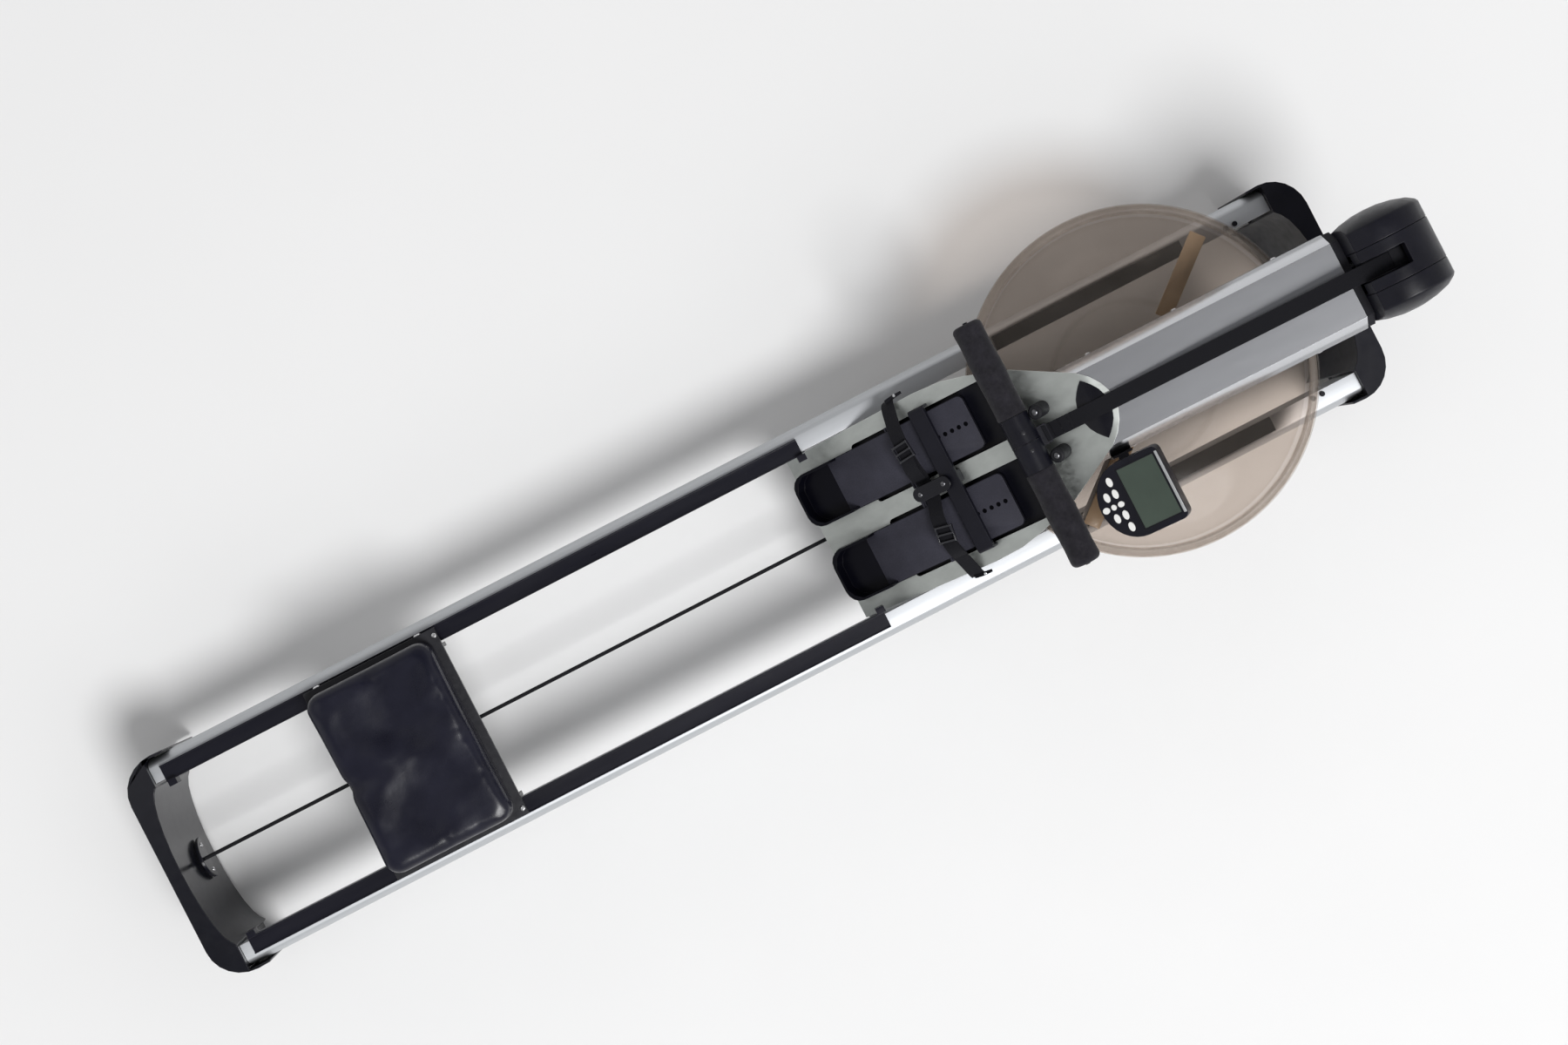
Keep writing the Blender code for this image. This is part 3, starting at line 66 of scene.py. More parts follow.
# ---------------- places taken from the frame
PLATE_TILT = math.radians(30.8)
PLATE_REAR_EDGE = (0.0903, 0, 0.140)
BEAM_TILT = math.radians(8.7)
MONITOR_TILT = math.radians(24)
MONITOR_PLACE = (0.534, -0.1419, 0.395)
FOOT = Matrix.Translation(PLATE_REAR_EDGE) @ Matrix.Rotation(-PLATE_TILT, 4, "Y")
MONITOR = Matrix.Translation(MONITOR_PLACE) @ Matrix.Rotation(-MONITOR_TILT, 4, "Y")

SEAT_LOW, SEAT_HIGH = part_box("seat_pad")
GRIP_LOW, GRIP_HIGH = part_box("handle_grip_left")
TANK_LOW, TANK_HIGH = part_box("tank_lower")
STRAP_LOW, STRAP_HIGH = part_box("pull_strap")
BEAM_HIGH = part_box("beam")[1]
NOSE_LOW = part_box("nose_casing")[0]
CARRIAGE_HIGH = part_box("seat_carriage")[1]
ANCHOR_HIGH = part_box("cord_anchor")[1]

TANK_X = (TANK_LOW.x + TANK_HIGH.x) / 2
HANDLE_X = (GRIP_LOW.x + GRIP_HIGH.x) / 2
HANDLE_Z = (GRIP_LOW.z + GRIP_HIGH.z) / 2
SEAT_X = (SEAT_LOW.x + SEAT_HIGH.x) / 2
FOOT_Y = 0.066
GAP = 0.0003


def on_plate(x, y, z):
    """A point given in the footplate's own frame."""
    return FOOT @ Vector((x, y, z))


def along_plate(x, y, z):
    """A direction given in the footplate's own frame."""
    return FOOT.to_3x3() @ Vector((x, y, z))


# ---------------- mesh helpers
def add_object(name, data):
    item = bpy.data.objects.new(name, data)
    bpy.context.scene.collection.objects.link(item)
    return item


def as_object(name, shape, finish, body, replaces=(), matrix=None, angle=40):
    """Turn a bmesh into a smooth-shaded piece that rides on a body."""
    bmesh.ops.recalc_face_normals(shape, faces=shape.faces)
    mesh = bpy.data.meshes.new(name)
    shape.to_mesh(mesh)
    shape.free()
    if matrix is not None:
        mesh.transform(matrix)
    mesh.shade_smooth()
    mesh.set_sharp_from_angle(angle=math.radians(angle))
    mesh.materials.append(finish)
    item = add_object(name, mesh)
    if body:
        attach(item, body)
    if replaces:
        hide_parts(*replaces)
    return item


def join_rings(shape, first, second):
    count = len(first)
    for i in range(count):
        j = (i + 1) % count
        shape.faces.new((first[i], first[j], second[j], second[i]))


def add_rings(shape, rings, closed=False):
    """Skin a list of rings of points, with flat ends unless the rings form a closed loop."""
    made = [[shape.verts.new(point) for point in ring] for ring in rings]
    for ring, following in zip(made, made[1:]):
        join_rings(shape, ring, following)
    if closed:
        join_rings(shape, made[-1], made[0])
    else:
        shape.faces.new(made[0])
        shape.faces.new(made[-1])


def to_axis(axis, along, first, second):
    return {"X": (along, first, second), "Y": (first, along, second), "Z": (first, second, along)}[axis]


def add_lathe(shape, profile, axis="Z", centre=(0, 0, 0), steps=64):
    """Turn a closed profile of (radius, height) points about an axis."""
    rings = []
    for radius, height in profile:
        ring = []
        for i in range(steps if radius > 0 else 1):
            angle = 2 * math.pi * i / steps
            offset = to_axis(axis, height, radius * math.cos(angle), radius * math.sin(angle))
            ring.append(shape.verts.new(Vector(offset) + Vector(centre)))
        rings.append(ring)
    for i, ring in enumerate(rings):
        following = rings[(i + 1) % len(rings)]
        if len(ring) == 1 and len(following) == 1:
            continue
        if len(ring) == 1 or len(following) == 1:
            tip, wide = (ring[0], following) if len(ring) == 1 else (following[0], ring)
            for j in range(steps):
                shape.faces.new((tip, wide[j], wide[(j + 1) % steps]))
        else:
            join_rings(shape, ring, following)


def arc(centre, radii, start, end, steps):
    points = []
    for i in range(steps + 1):
        angle = math.radians(start + (end - start) * i / steps)
        points.append((centre[0] + radii[0] * math.cos(angle), centre[1] + radii[1] * math.sin(angle)))
    return points


def rounded_rectangle(low, high, radius, steps=6):
    points = []
    corners = [(high[0] - radius, high[1] - radius, 0), (low[0] + radius, high[1] - radius, 90),
               (low[0] + radius, low[1] + radius, 180), (high[0] - radius, low[1] + radius, 270)]
    for x, y, start in corners:
        points += arc((x, y), (radius, radius), start, start + 90, steps)
    return points


def smooth_points(points, parts=6):
    """Catmull-Rom points through a list of tuples of any length."""
    vectors = [Vector(point) for point in points]
    dense = []
    for i in range(len(vectors) - 1):
        p1, p2 = vectors[i], vectors[i + 1]
        p0 = vectors[i - 1] if i > 0 else 2 * p1 - p2
        p3 = vectors[i + 2] if i + 2 < len(vectors) else 2 * p2 - p1
        for k in range(parts):
            t = k / parts
            dense.append(0.5 * (2 * p1 + (p2 - p0) * t + (2 * p0 - 5 * p1 + 4 * p2 - p3) * t ** 2
                                + (3 * p1 - p0 - 3 * p2 + p3) * t ** 3))
    return dense + [vectors[-1]]


def add_block(shape, low, high, round_by=0.0015):
    """A small moulded block with rounded edges all round."""
    plan_ratio = 1.2
    smallest_corner = 0.0002
    half = [(h - l) / 2 for l, h in zip(low, high)]
    centre = [(h + l) / 2 for l, h in zip(low, high)]
    round_by = min(round_by, *half)
    steps = 3
    rings = []
    levels = [(-1, angle) for angle in range(0, 91, 90 // steps)]
    levels += [(1, angle) for angle in range(90, -1, -90 // steps)]
    for sign, angle in levels:
        inset = round_by * (1 - math.sin(math.radians(angle)))
        z = centre[2] + sign * (half[2] - round_by * (1 - math.cos(math.radians(angle))))
        outline = rounded_rectangle((centre[0] - half[0] + inset, centre[1] - half[1] + inset),
                                    (centre[0] + half[0] - inset, centre[1] + half[1] - inset),
                                    max(round_by * plan_ratio - inset, smallest_corner), steps)
        rings.append([(x, y, z) for x, y in outline])
    add_rings(shape, rings)


def add_ribbon(shape, centres, across, width, thickness):
    """A strap along centre points. across gives each point's direction of the width."""
    rings = []
    distance = 0.0
    lengths = []
    for i, centre in enumerate(centres):
        before = centres[max(i - 1, 0)]
        after = centres[min(i + 1, len(centres) - 1)]
        distance += (centre - centres[i - 1]).length if i else 0.0
        lengths.append(distance)
        wide = across[i].normalized()
        thin = (after - before).cross(wide).normalized()
        half = width[i] / 2 if isinstance(width, list) else width / 2
        edge = thickness * 0.35
        crown = 0.56
        section = [(half, 0), (half - edge, 0.5), (0, crown), (-half + edge, 0.5),
                   (-half, 0), (-half + edge, -0.5), (0, -crown), (half - edge, -0.5)]
        rings.append([centre + wide * a + thin * b * thickness for a, b in section])
    layer = shape.loops.layers.uv.verify()
    made = [[shape.verts.new(point) for point in ring] for ring in rings]
    corners = len(made[0])
    for i in range(len(made) - 1):
        for j in range(corners):
            k = (j + 1) % corners
            face = shape.faces.new((made[i][j], made[i][k], made[i + 1][k], made[i + 1][j]))
            spread = [(i, j), (i, k), (i + 1, k), (i + 1, j)]
            for loop, (row, column) in zip(face.loops, spread):
                side = (rings[row][column] - centres[row]).dot(across[row].normalized())
                loop[layer].uv = (lengths[row], side)
    for ring in (made[0], made[-1]):
        face = shape.faces.new(ring)
        for loop in face.loops:
            loop[layer].uv = (0, 0)


def add_screw(shape, place, normal, radius=0.0032, height=0.0016):
    """A domed head with a round socket, standing on a surface."""
    socket = radius * 0.5
    socket_floor = height * 0.35
    profile = [(0, socket_floor), (socket, socket_floor), (socket, height),
               (radius * 0.7, height * 0.96), (radius, height * 0.45), (radius, 0), (0, 0)]
    turned = bmesh.new()
    add_lathe(turned, profile, "Z", steps=18)
    turn = Vector(normal).to_track_quat("Z", "Y").to_matrix().to_4x4()
    bmesh.ops.transform(turned, matrix=Matrix.Translation(place) @ turn, verts=turned.verts)
    mesh = bpy.data.meshes.new("screw")
    turned.to_mesh(mesh)
    turned.free()
    shape.from_mesh(mesh)
    bpy.data.meshes.remove(mesh)


# ---------------- materials
DUST_GREY = (0.32, 0.31, 0.30, 1.0)
LINT_GREY = (0.30, 0.30, 0.31, 1.0)
SPECK_GREY = (0.75, 0.73, 0.70, 1.0)
DUST_SCALE = 340.0
EDGE_WEAR_AND_HIGHLIGHT_REACH = 0.0012
GRAIN_DEPTH = 0.0004
CREASE_DEPTH = 0.002
WEAVE_DEPTH = 0.0005


def fill_inputs(tree, item, values):
    """Set a node's inputs, each from a number, a colour or another node's socket."""
    for key, value in values.items():
        if isinstance(value, bpy.types.NodeSocket):
            tree.links.new(value, item.inputs[key])
        else:
            item.inputs[key].default_value = value


def add_node(tree, kind, values=None, **settings):
    item = tree.nodes.new(kind)
    for key, value in settings.items():
        setattr(item, key, value)
    fill_inputs(tree, item, values or {})
    return item


def new_material(name):
    material = bpy.data.materials.new(name)
    material.use_nodes = True
    return material, material.node_tree, material.node_tree.nodes["Principled BSDF"]


def shade(colour, factor):
    """A colour made darker or lighter, with its alpha."""
    return (*[min(channel * factor, 1.0) for channel in colour], 1.0)


def stretched_coordinates(tree, stretch, source="Object"):
    coordinates = add_node(tree, "ShaderNodeTexCoord").outputs[source]
    values = {"Vector": coordinates, "Scale": stretch}
    return add_node(tree, "ShaderNodeMapping", values).outputs["Vector"]


def noise_factor(tree, vector, scale, detail=4.0, roughness=0.55):
    values = {"Vector": vector, "Scale": scale, "Detail": detail, "Roughness": roughness}
    return add_node(tree, "ShaderNodeTexNoise", values).outputs["Fac"]


def between(tree, factor, low, high, start=0.3, end=0.7):
    """Map a factor's middle range onto low to high."""
    values = {"Value": factor, "From Min": start, "From Max": end, "To Min": low, "To Max": high}
    return add_node(tree, "ShaderNodeMapRange", values).outputs["Result"]


def mix_colours(tree, factor, first, second):
    """Mix two colours, each a tuple or a socket."""
    values = {"Factor": factor, 6: first, 7: second}
    return add_node(tree, "ShaderNodeMix", values, data_type="RGBA").outputs[2]


def calculate(tree, operation, first, second, **settings):
    """Add or multiply two numbers, each a value or a socket."""
    values = {0: first, 1: second}
    return add_node(tree, "ShaderNodeMath", values, operation=operation, **settings).outputs["Value"]


def bump_normal(tree, height, strength, distance):
    values = {"Height": height, "Strength": strength, "Distance": distance}
    return add_node(tree, "ShaderNodeBump", values).outputs["Normal"]


def edge_factor(tree, radius):
    """Near 1 along convex and concave edges, 0 on open faces."""
    soft = add_node(tree, "ShaderNodeBevel", {"Radius": radius}, samples=4).outputs["Normal"]
    plain = add_node(tree, "ShaderNodeNewGeometry").outputs["Normal"]
    product = add_node(tree, "ShaderNodeVectorMath", {0: soft, 1: plain}, operation="DOT_PRODUCT")
    return between(tree, product.outputs["Value"], 1.0, 0.0, 0.90, 0.995)


def moulded(name, colour, roughness, metallic=0.0, mottle=0.18, mottle_scale=22.0, grain=0.12,
            grain_scale=1100.0, stretch=(1, 1, 1), dust=0.0, wear_and_highlight=0.0, sheen=0.0, coat=0.0,
            specular=0.5, uneven=0.16):
    """General finish: mottled colour, uneven roughness, fine grain, some dust, lighter edges for wear and
    painted highlight.
    """
    material, tree, shader = new_material(name)
    vector = stretched_coordinates(tree, stretch)
    patchy = between(tree, noise_factor(tree, vector, mottle_scale), 0, 1)
    colours = mix_colours(tree, patchy, shade(colour, 1 - mottle), shade(colour, 1 + mottle))
    if dust:
        specks = noise_factor(tree, vector, DUST_SCALE, 6.0, 0.8)
        colours = mix_colours(tree, between(tree, specks, 0, dust, 0.58, 0.74), colours, DUST_GREY)
    # Lighter edges: wear, and where the amount is high a painted highlight along the edges.
    if wear_and_highlight:
        lighter = shade([channel * 2.2 + 0.02 for channel in colour], 1.0)
        worn_and_lit_edges = calculate(tree, "MULTIPLY", edge_factor(tree, EDGE_WEAR_AND_HIGHLIGHT_REACH), wear_and_highlight)
        colours = mix_colours(tree, worn_and_lit_edges, colours, lighter)
    patches = noise_factor(tree, vector, mottle_scale * 2.7)
    gloss = between(tree, patches, roughness * (1 - uneven), min(roughness * (1 + uneven), 1.0))
    fine = noise_factor(tree, vector, grain_scale, 2.0)
    fill_inputs(tree, shader, {
        "Base Color": colours, "Roughness": gloss, "Normal": bump_normal(tree, fine, grain, GRAIN_DEPTH),
        "Metallic": metallic, "Sheen Weight": sheen, "Coat Weight": coat, "Specular IOR Level": specular})
    return material


def pebbled(name, colour, roughness, cell, depth, creases=0.0, specular=0.5):
    """Leather or textured rubber: rounded cells with painted shade in the gaps between them, and broad soft
    creases on leather.
    """
    material, tree, shader = new_material(name)
    vector = stretched_coordinates(tree, (1, 1, 1))
    values = {"Vector": vector, "Scale": 1 / cell, "Randomness": 0.9}
    cells = add_node(tree, "ShaderNodeTexVoronoi", values).outputs["Distance"]
    cloud = noise_factor(tree, vector, 14.0)
    tones = mix_colours(tree, between(tree, cloud, 0, 1), shade(colour, 0.75), shade(colour, 1.3))
    # Painted shade: the gaps between the cells are darkened.
    hollow = between(tree, cells, 0, 0.35, 0.2, 0.75)
    values = {"Height": cells, "Strength": depth, "Distance": GRAIN_DEPTH}
    if creases:
        folds = noise_factor(tree, vector, 46.0, 5.0, 0.65)
        values["Normal"] = bump_normal(tree, folds, creases, CREASE_DEPTH)
    bump = add_node(tree, "ShaderNodeBump", values, invert=True)
    fill_inputs(tree, shader, {
        "Base Color": mix_colours(tree, hollow, tones, shade(colour, 0.5)),
        "Roughness": between(tree, cloud, roughness * 0.85, roughness * 1.15),
        "Normal": bump.outputs["Normal"], "Specular IOR Level": specular})
    return material


def woven(name, colour, pitch, source):
    """Flat webbing: rows of warp and weft bumps at the given pitch in metres, with painted shade in their
    hollows and painted highlight on their tops.
    """
    material, tree, shader = new_material(name)
    vector = stretched_coordinates(tree, (1, 1, 1), source)
    values = {"Vector": vector, "Scale": math.pi / (10 * pitch), "Distortion": 0.4, "Detail": 2.0}
    warp, weft = [add_node(tree, "ShaderNodeTexWave", values, bands_direction=direction).outputs["Fac"]
                  for direction in ("X", "Y")]
    crossing = calculate(tree, "MULTIPLY", warp, weft)
    # Painted shade and highlight: the weave's low parts are darkened and its raised crossings lightened.
    tone = mix_colours(tree, crossing, shade(colour, 0.45), shade(colour, 1.5))
    fuzz = noise_factor(tree, vector, 700.0, 5.0, 0.7)
    tone = mix_colours(tree, between(tree, fuzz, 0, 0.05, 0.55, 0.75), tone, LINT_GREY)
    fill_inputs(tree, shader, {
        "Base Color": tone, "Roughness": between(tree, fuzz, 0.72, 0.92),
        "Normal": bump_normal(tree, crossing, 0.7, WEAVE_DEPTH),
        "Sheen Weight": 0.04, "Specular IOR Level": 0.25})
    return material


def see_through(name, tint, body_colour, thin, thick, roughness, specks=0.0):
    """Clear plastic or water: a tinted window, more solid towards its rim, under a glossy skin."""
    material, tree, shader = new_material(name)
    window = add_node(tree, "ShaderNodeBsdfTransparent", {"Color": (*tint, 1.0)})
    facing = add_node(tree, "ShaderNodeLayerWeight", {"Blend": 0.35})
    solid = between(tree, facing.outputs["Facing"], thin, thick, 0.15, 1.0)
    vector = stretched_coordinates(tree, (1, 1, 1))
    cloud = noise_factor(tree, vector, 9.0)
    factor = calculate(tree, "MULTIPLY", solid, between(tree, cloud, 0.8, 1.2))
    patchy = between(tree, cloud, 0, 1)
    colours = mix_colours(tree, patchy, shade(body_colour, 0.85), shade(body_colour, 1.15))
    if specks:
        grit = noise_factor(tree, vector, 420.0, 4.0, 0.7)
        spot = between(tree, grit, 0, specks, 0.68, 0.76)
        factor = calculate(tree, "ADD", factor, spot, use_clamp=True)
        colours = mix_colours(tree, between(tree, grit, 0, 1, 0.66, 0.74), colours, SPECK_GREY)
    gloss = between(tree, cloud, roughness * 0.7, roughness * 1.3)
    fill_inputs(tree, shader, {"Base Color": colours, "Roughness": gloss})
    values = {"Fac": factor, 1: window.outputs["BSDF"], 2: shader.outputs["BSDF"]}
    mixer = add_node(tree, "ShaderNodeMixShader", values)
    fill_inputs(tree, tree.nodes["Material Output"], {"Surface": mixer.outputs["Shader"]})
    return material


ALONG = (0.02, 1, 1)      # grain drawn out along the rails
MATT = 0.22               # specular level of the black mouldings

# metals
RAIL = moulded("rail_anodised", (0.50, 0.515, 0.535), 0.50, 0.65, 0.04, 90, 0.08, 900, ALONG,
               wear_and_highlight=0.3, uneven=0.05)
BEAM = moulded("beam_anodised", (0.60, 0.61, 0.635), 0.25, 1.0, 0.02, 60, 0.05, 900, ALONG,
               wear_and_highlight=0.4, uneven=0.02)
PLATE = moulded("plate_satin", (0.52, 0.545, 0.525), 0.46, 1.0, 0.06, 60, 0.16, 800, (0.3, 1, 1),
                wear_and_highlight=0.5)
STEEL = moulded("bright_steel", (0.62, 0.62, 0.63), 0.28, 1.0, 0.1, 120, 0.05, wear_and_highlight=0.3)
BOLT = moulded("blackened_bolt", (0.16, 0.16, 0.17), 0.34, 1.0, 0.1, 120, 0.05, wear_and_highlight=0.3)
DARK_METAL = moulded("dark_metal", (0.012, 0.012, 0.016), 0.36, 0.2, 0.2, 40, 0.2, 900,
                     dust=0.04, wear_and_highlight=0.25)
SILVER = moulded("silver_trim", (0.60, 0.61, 0.62), 0.35, 0.9, mottle=0.06, grain=0.1)

# hard plastics
PLASTIC = moulded("black_moulding", (0.0060, 0.0060, 0.0105), 0.36, mottle=0.2, grain=0.25,
                  dust=0.03, wear_and_highlight=0.3, specular=MATT)
GLOSSY = moulded("black_gloss", (0.0035, 0.0035, 0.0065), 0.22, mottle=0.15, grain=0.04,
                 dust=0.02, wear_and_highlight=0.2, specular=0.35)
TRACK = moulded("track_black", (0.0060, 0.0060, 0.0115), 0.32, mottle=0.2, grain=0.2,
                stretch=(0.1, 1, 1), dust=0.03, wear_and_highlight=0.35, specular=MATT)
# Strong lighter edges: painted highlight along the rims of the frame ends, over a little wear.
WALL_PLASTIC = moulded("frame_end_moulding", (0.0060, 0.0063, 0.0100), 0.20, mottle=0.12,
                       grain=0.02, wear_and_highlight=0.8, specular=0.5)
# Darker and duller than the other black mouldings: painted shade inside the heel cups.
SHADED_HEEL_CUP = moulded("heel_cup_moulding_painted_shade", (0.0020, 0.0020, 0.0045), 0.34, mottle=0.15, grain=0.05,
                   wear_and_highlight=0.3, specular=0.12)
WHEEL = moulded("wheel_plastic", (0.09, 0.09, 0.10), 0.40, mottle=0.15)
# Dark brown: the fins are real parts, and their darkness paints the shadow line beside each clear flange;
# the hub shares this finish.
BLADE_FIN = moulded("paddle_fin", (0.045, 0.037, 0.031), 0.3, mottle=0.2, grain=0.05)
# Strong lighter edges: painted highlight on the buckle frames, over a little wear.
BUCKLE = moulded("buckle_gloss", (0.012, 0.012, 0.016), 0.16, mottle=0.1, grain=0.02, wear_and_highlight=0.9)
# Near-black flat discs: painted shade standing for the dark insides of the peg holes.
PEG_HOLE_SHADE = moulded("peg_hole_painted_shade", (0.0012, 0.0012, 0.0020), 0.9, grain=0.02, specular=0.05)
SCREEN = moulded("screen_glass", (0.046, 0.064, 0.050), 0.16, mottle=0.10, mottle_scale=12,
                 grain=0.0, coat=0.4)
BUTTON = moulded("button_plastic", (0.78, 0.78, 0.76), 0.42, mottle=0.04, grain=0.05, wear_and_highlight=0.0)

# rubber, foam, leather and webbing
RUBBER = moulded("black_rubber", (0.0090, 0.0090, 0.0115), 0.62, mottle=0.25, grain=0.4,
                 grain_scale=700, dust=0.06, specular=MATT)
FOAM = moulded("foam_grip_skin", (0.0120, 0.0110, 0.0150), 0.85, mottle=0.35, mottle_scale=60,
               grain=0.9, grain_scale=850, dust=0.06, sheen=0.08, specular=MATT)
GASKET = pebbled("gasket_foam", (0.0100, 0.0100, 0.0140), 0.70, 0.0016, 0.9, specular=MATT)
LEATHER = pebbled("seat_leather", (0.0030, 0.0032, 0.0125), 0.30, 0.0011, 0.12, creases=0.10,
                  specular=0.42)
FOOT_PAD = pebbled("foot_pad_rubber", (0.0360, 0.0355, 0.0490), 0.60, 0.0013, 0.55, specular=MATT)
WEBBING = woven("strap_webbing", (0.0030, 0.0030, 0.0065), 0.0015, "UV")
DRIVE_WEBBING = woven("drive_webbing", (0.012, 0.012, 0.016), 0.0015, "Object")
CORD = woven("cord_braid", (0.008, 0.008, 0.011), 0.0022, "Object")

# clear plastics and water
SMOKED = see_through("smoked_shell", (0.925, 0.900, 0.880), (0.42, 0.385, 0.355), 0.04, 0.42, 0.08,
                     specks=0.35)
BOWL = see_through("smoked_bowl", (0.925, 0.895, 0.872), (0.34, 0.30, 0.27), 0.02, 0.14, 0.14)
WATER = see_through("water_body", (0.96, 0.945, 0.93), (0.36, 0.32, 0.29), 0.01, 0.14, 0.05)
BLADE = see_through("paddle_clear_brown", (0.74, 0.62, 0.47), (0.46, 0.35, 0.23), 0.55, 0.8, 0.15)
SEAL = see_through("clear_seal", (0.86, 0.84, 0.82), (0.47, 0.45, 0.43), 0.25, 0.6, 0.35)


# ---------------- CAD nodes that stay
WELD_REACH = 0.000002
FLAT_ANGLE = math.radians(0.8)
EDGE_ANGLE = math.radians(38)


def dress(finish, width, *nodes, segments=2):
    """Give CAD nodes a finish, soft edges and even shading, with their shape as it is."""
    for name in nodes:
        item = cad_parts[name]
        mesh = item.data
        stored = mesh.attributes.get("custom_normal")
        if stored:
            mesh.attributes.remove(stored)
        mesh.shade_smooth()
        mesh.materials.clear()
        mesh.materials.append(finish)
        weld = item.modifiers.new("weld", "WELD")
        weld.merge_threshold = WELD_REACH
        flat = item.modifiers.new("flat_faces", "DECIMATE")
        flat.decimate_type = "DISSOLVE"
        flat.angle_limit = FLAT_ANGLE
        edge = item.modifiers.new("soft_edges", "BEVEL")
        edge.width = width
        edge.segments = segments
        edge.limit_method = "ANGLE"
        edge.angle_limit = EDGE_ANGLE
        even = item.modifiers.new("even_shading", "WEIGHTED_NORMAL")
        even.keep_sharp = True


dress(RAIL, 0.0006, "rail_left", "rail_right", "foot_crossbar", "front_strut")
dress(BEAM, 0.0008, "beam")
dress(PLATE, 0.0007, "footplate")
dress(TRACK, 0.0005, "runner_left", "runner_right")
dress(WALL_PLASTIC, 0.0060, "rear_crossmember", segments=4)
dress(PLASTIC, 0.0034, "front_crossmember", segments=3)
dress(PLASTIC, 0.0006, "foot_tracks", "rotor_bearing")
dress(GLOSSY, 0.0014, "strap_clamp", segments=3)
dress(WALL_PLASTIC, 0.0014, "cord_anchor", segments=3)
dress(PLASTIC, 0.0015, "toe_bar", segments=3)
dress(GLOSSY, 0.0004, "strap_guide")
dress(PLASTIC, 0.0012, "nose_casing", segments=3)
dress(PLASTIC, 0.0040, "nose_cheek_left", "nose_cheek_right", segments=4)
dress(PLASTIC, 0.0010, "monitor_case", segments=3)
dress(SHADED_HEEL_CUP, 0.0009, "heel_rest_left", "heel_rest_right", segments=3)
dress(RUBBER, 0.0008, "rear_foot", "front_foot", "handle_rest_left", "handle_rest_right",
      "tank_pad_left", "tank_pad_right")
dress(SEAL, 0.0004, "tank_seal")
dress(RUBBER, 0.0012, "transport_wheels")
dress(DARK_METAL, 0.0005, "seat_carriage", "monitor_arm")
dress(PLASTIC, 0.0005, "handle_core", "nose_pulley", "strap_drum", "fill_cap")
dress(WHEEL, 0.0006, "seat_wheels_front", "seat_wheels_rear")
dress(DRIVE_WEBBING, 0.0003, "drive_strap")
dress(CORD, 0.0002, "recoil_cord")
dress(SCREEN, 0.0002, "monitor_screen")
dress(BUTTON, 0.0005, *[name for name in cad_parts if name.startswith("button_")])


# ---------------- seat
SEAT_CORNER = 0.026
OUTLINE_SPACING = 0.009
NOTCH_DEPTH = 0.006
NOTCH_SPREAD = 0.011
FOAM_LIFT = 0.0068        # room under the foam for its moulded base
FOAM_GROWTH = 0.0045      # room above it for the swelling
FOAM_VOXEL = 0.0042
MOST_SWELL = 0.0035
AIR_PRESSURE = 4.0
CLOTH_STEPS = 20
SEAT_FLOOR_LIFT = 0.0062
SCREW_Y = 0.150
HUB_CAP_X = 0.088
HUB_CAP_Y = 0.1612
HUB_CAP_Z = 0.2231


def seat_outline(inset, steps=10):
    """Rounded plan of the seat with a shallow notch in the middle of its rear edge."""
    plans = []
    for shift in (0.0, inset):
        low = (SEAT_LOW.x + shift, SEAT_LOW.y + shift)
        high = (SEAT_HIGH.x - shift, SEAT_HIGH.y - shift)
        plans.append(rounded_rectangle(low, high, SEAT_CORNER - shift * 0.6, steps))
    full, plain = plans
    rear_start = 2 * (steps + 1) - 1
    points = []
    for i, point in enumerate(plain):
        following = plain[(i + 1) % len(plain)]
        points.append(point)
        parts = max(int(math.dist(full[i], full[(i + 1) % len(full)]) / OUTLINE_SPACING), 1)
        for k in range(1, parts):
            x = point[0] + (following[0] - point[0]) * k / parts
            y = point[1] + (following[1] - point[1]) * k / parts
            if i == rear_start:
                x += NOTCH_DEPTH * math.exp(-(y / NOTCH_SPREAD) ** 2)
            points.append((x, y))
    return points


def make_seat_pad():
    """Foam pad with a moulded skin: inflated by cloth pressure, then hollowed where a rower sits."""
    bottom = SEAT_LOW.z + FOAM_LIFT
    top = SEAT_HIGH.z - FOAM_GROWTH
    shape = bmesh.new()
    levels = [(0.0030, bottom), (0.0012, bottom + 0.0030), (0.0010, bottom + 0.012),
              (0.0016, top - 0.012), (0.0040, top - 0.0055), (0.0090, top - 0.0014), (0.0170, top)]
    add_rings(shape, [[(x, y, z) for x, y in seat_outline(inset)] for inset, z in levels])
    pad = as_object("seat_cushion", shape, LEATHER, None)
    bpy.context.view_layer.objects.active = pad
    remesh = pad.modifiers.new("remesh", "REMESH")
    remesh.mode = "VOXEL"
    remesh.voxel_size = FOAM_VOXEL
    apply_modifiers(pad)
    rest = [vertex.co.copy() for vertex in pad.data.vertices]
    inflate(pad, rest, MOST_SWELL)
    shape_seat(pad)
    finer = pad.modifiers.new("finer", "SUBSURF")
    finer.levels = finer.render_levels = 1
    apply_modifiers(pad)
    pad.data.shade_smooth()
    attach(pad, "seat")
    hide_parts("seat_pad")


def apply_modifiers(item):
    graph = bpy.context.evaluated_depsgraph_get()
    made = bpy.data.meshes.new_from_object(item.evaluated_get(graph))
    item.modifiers.clear()
    item.data = made


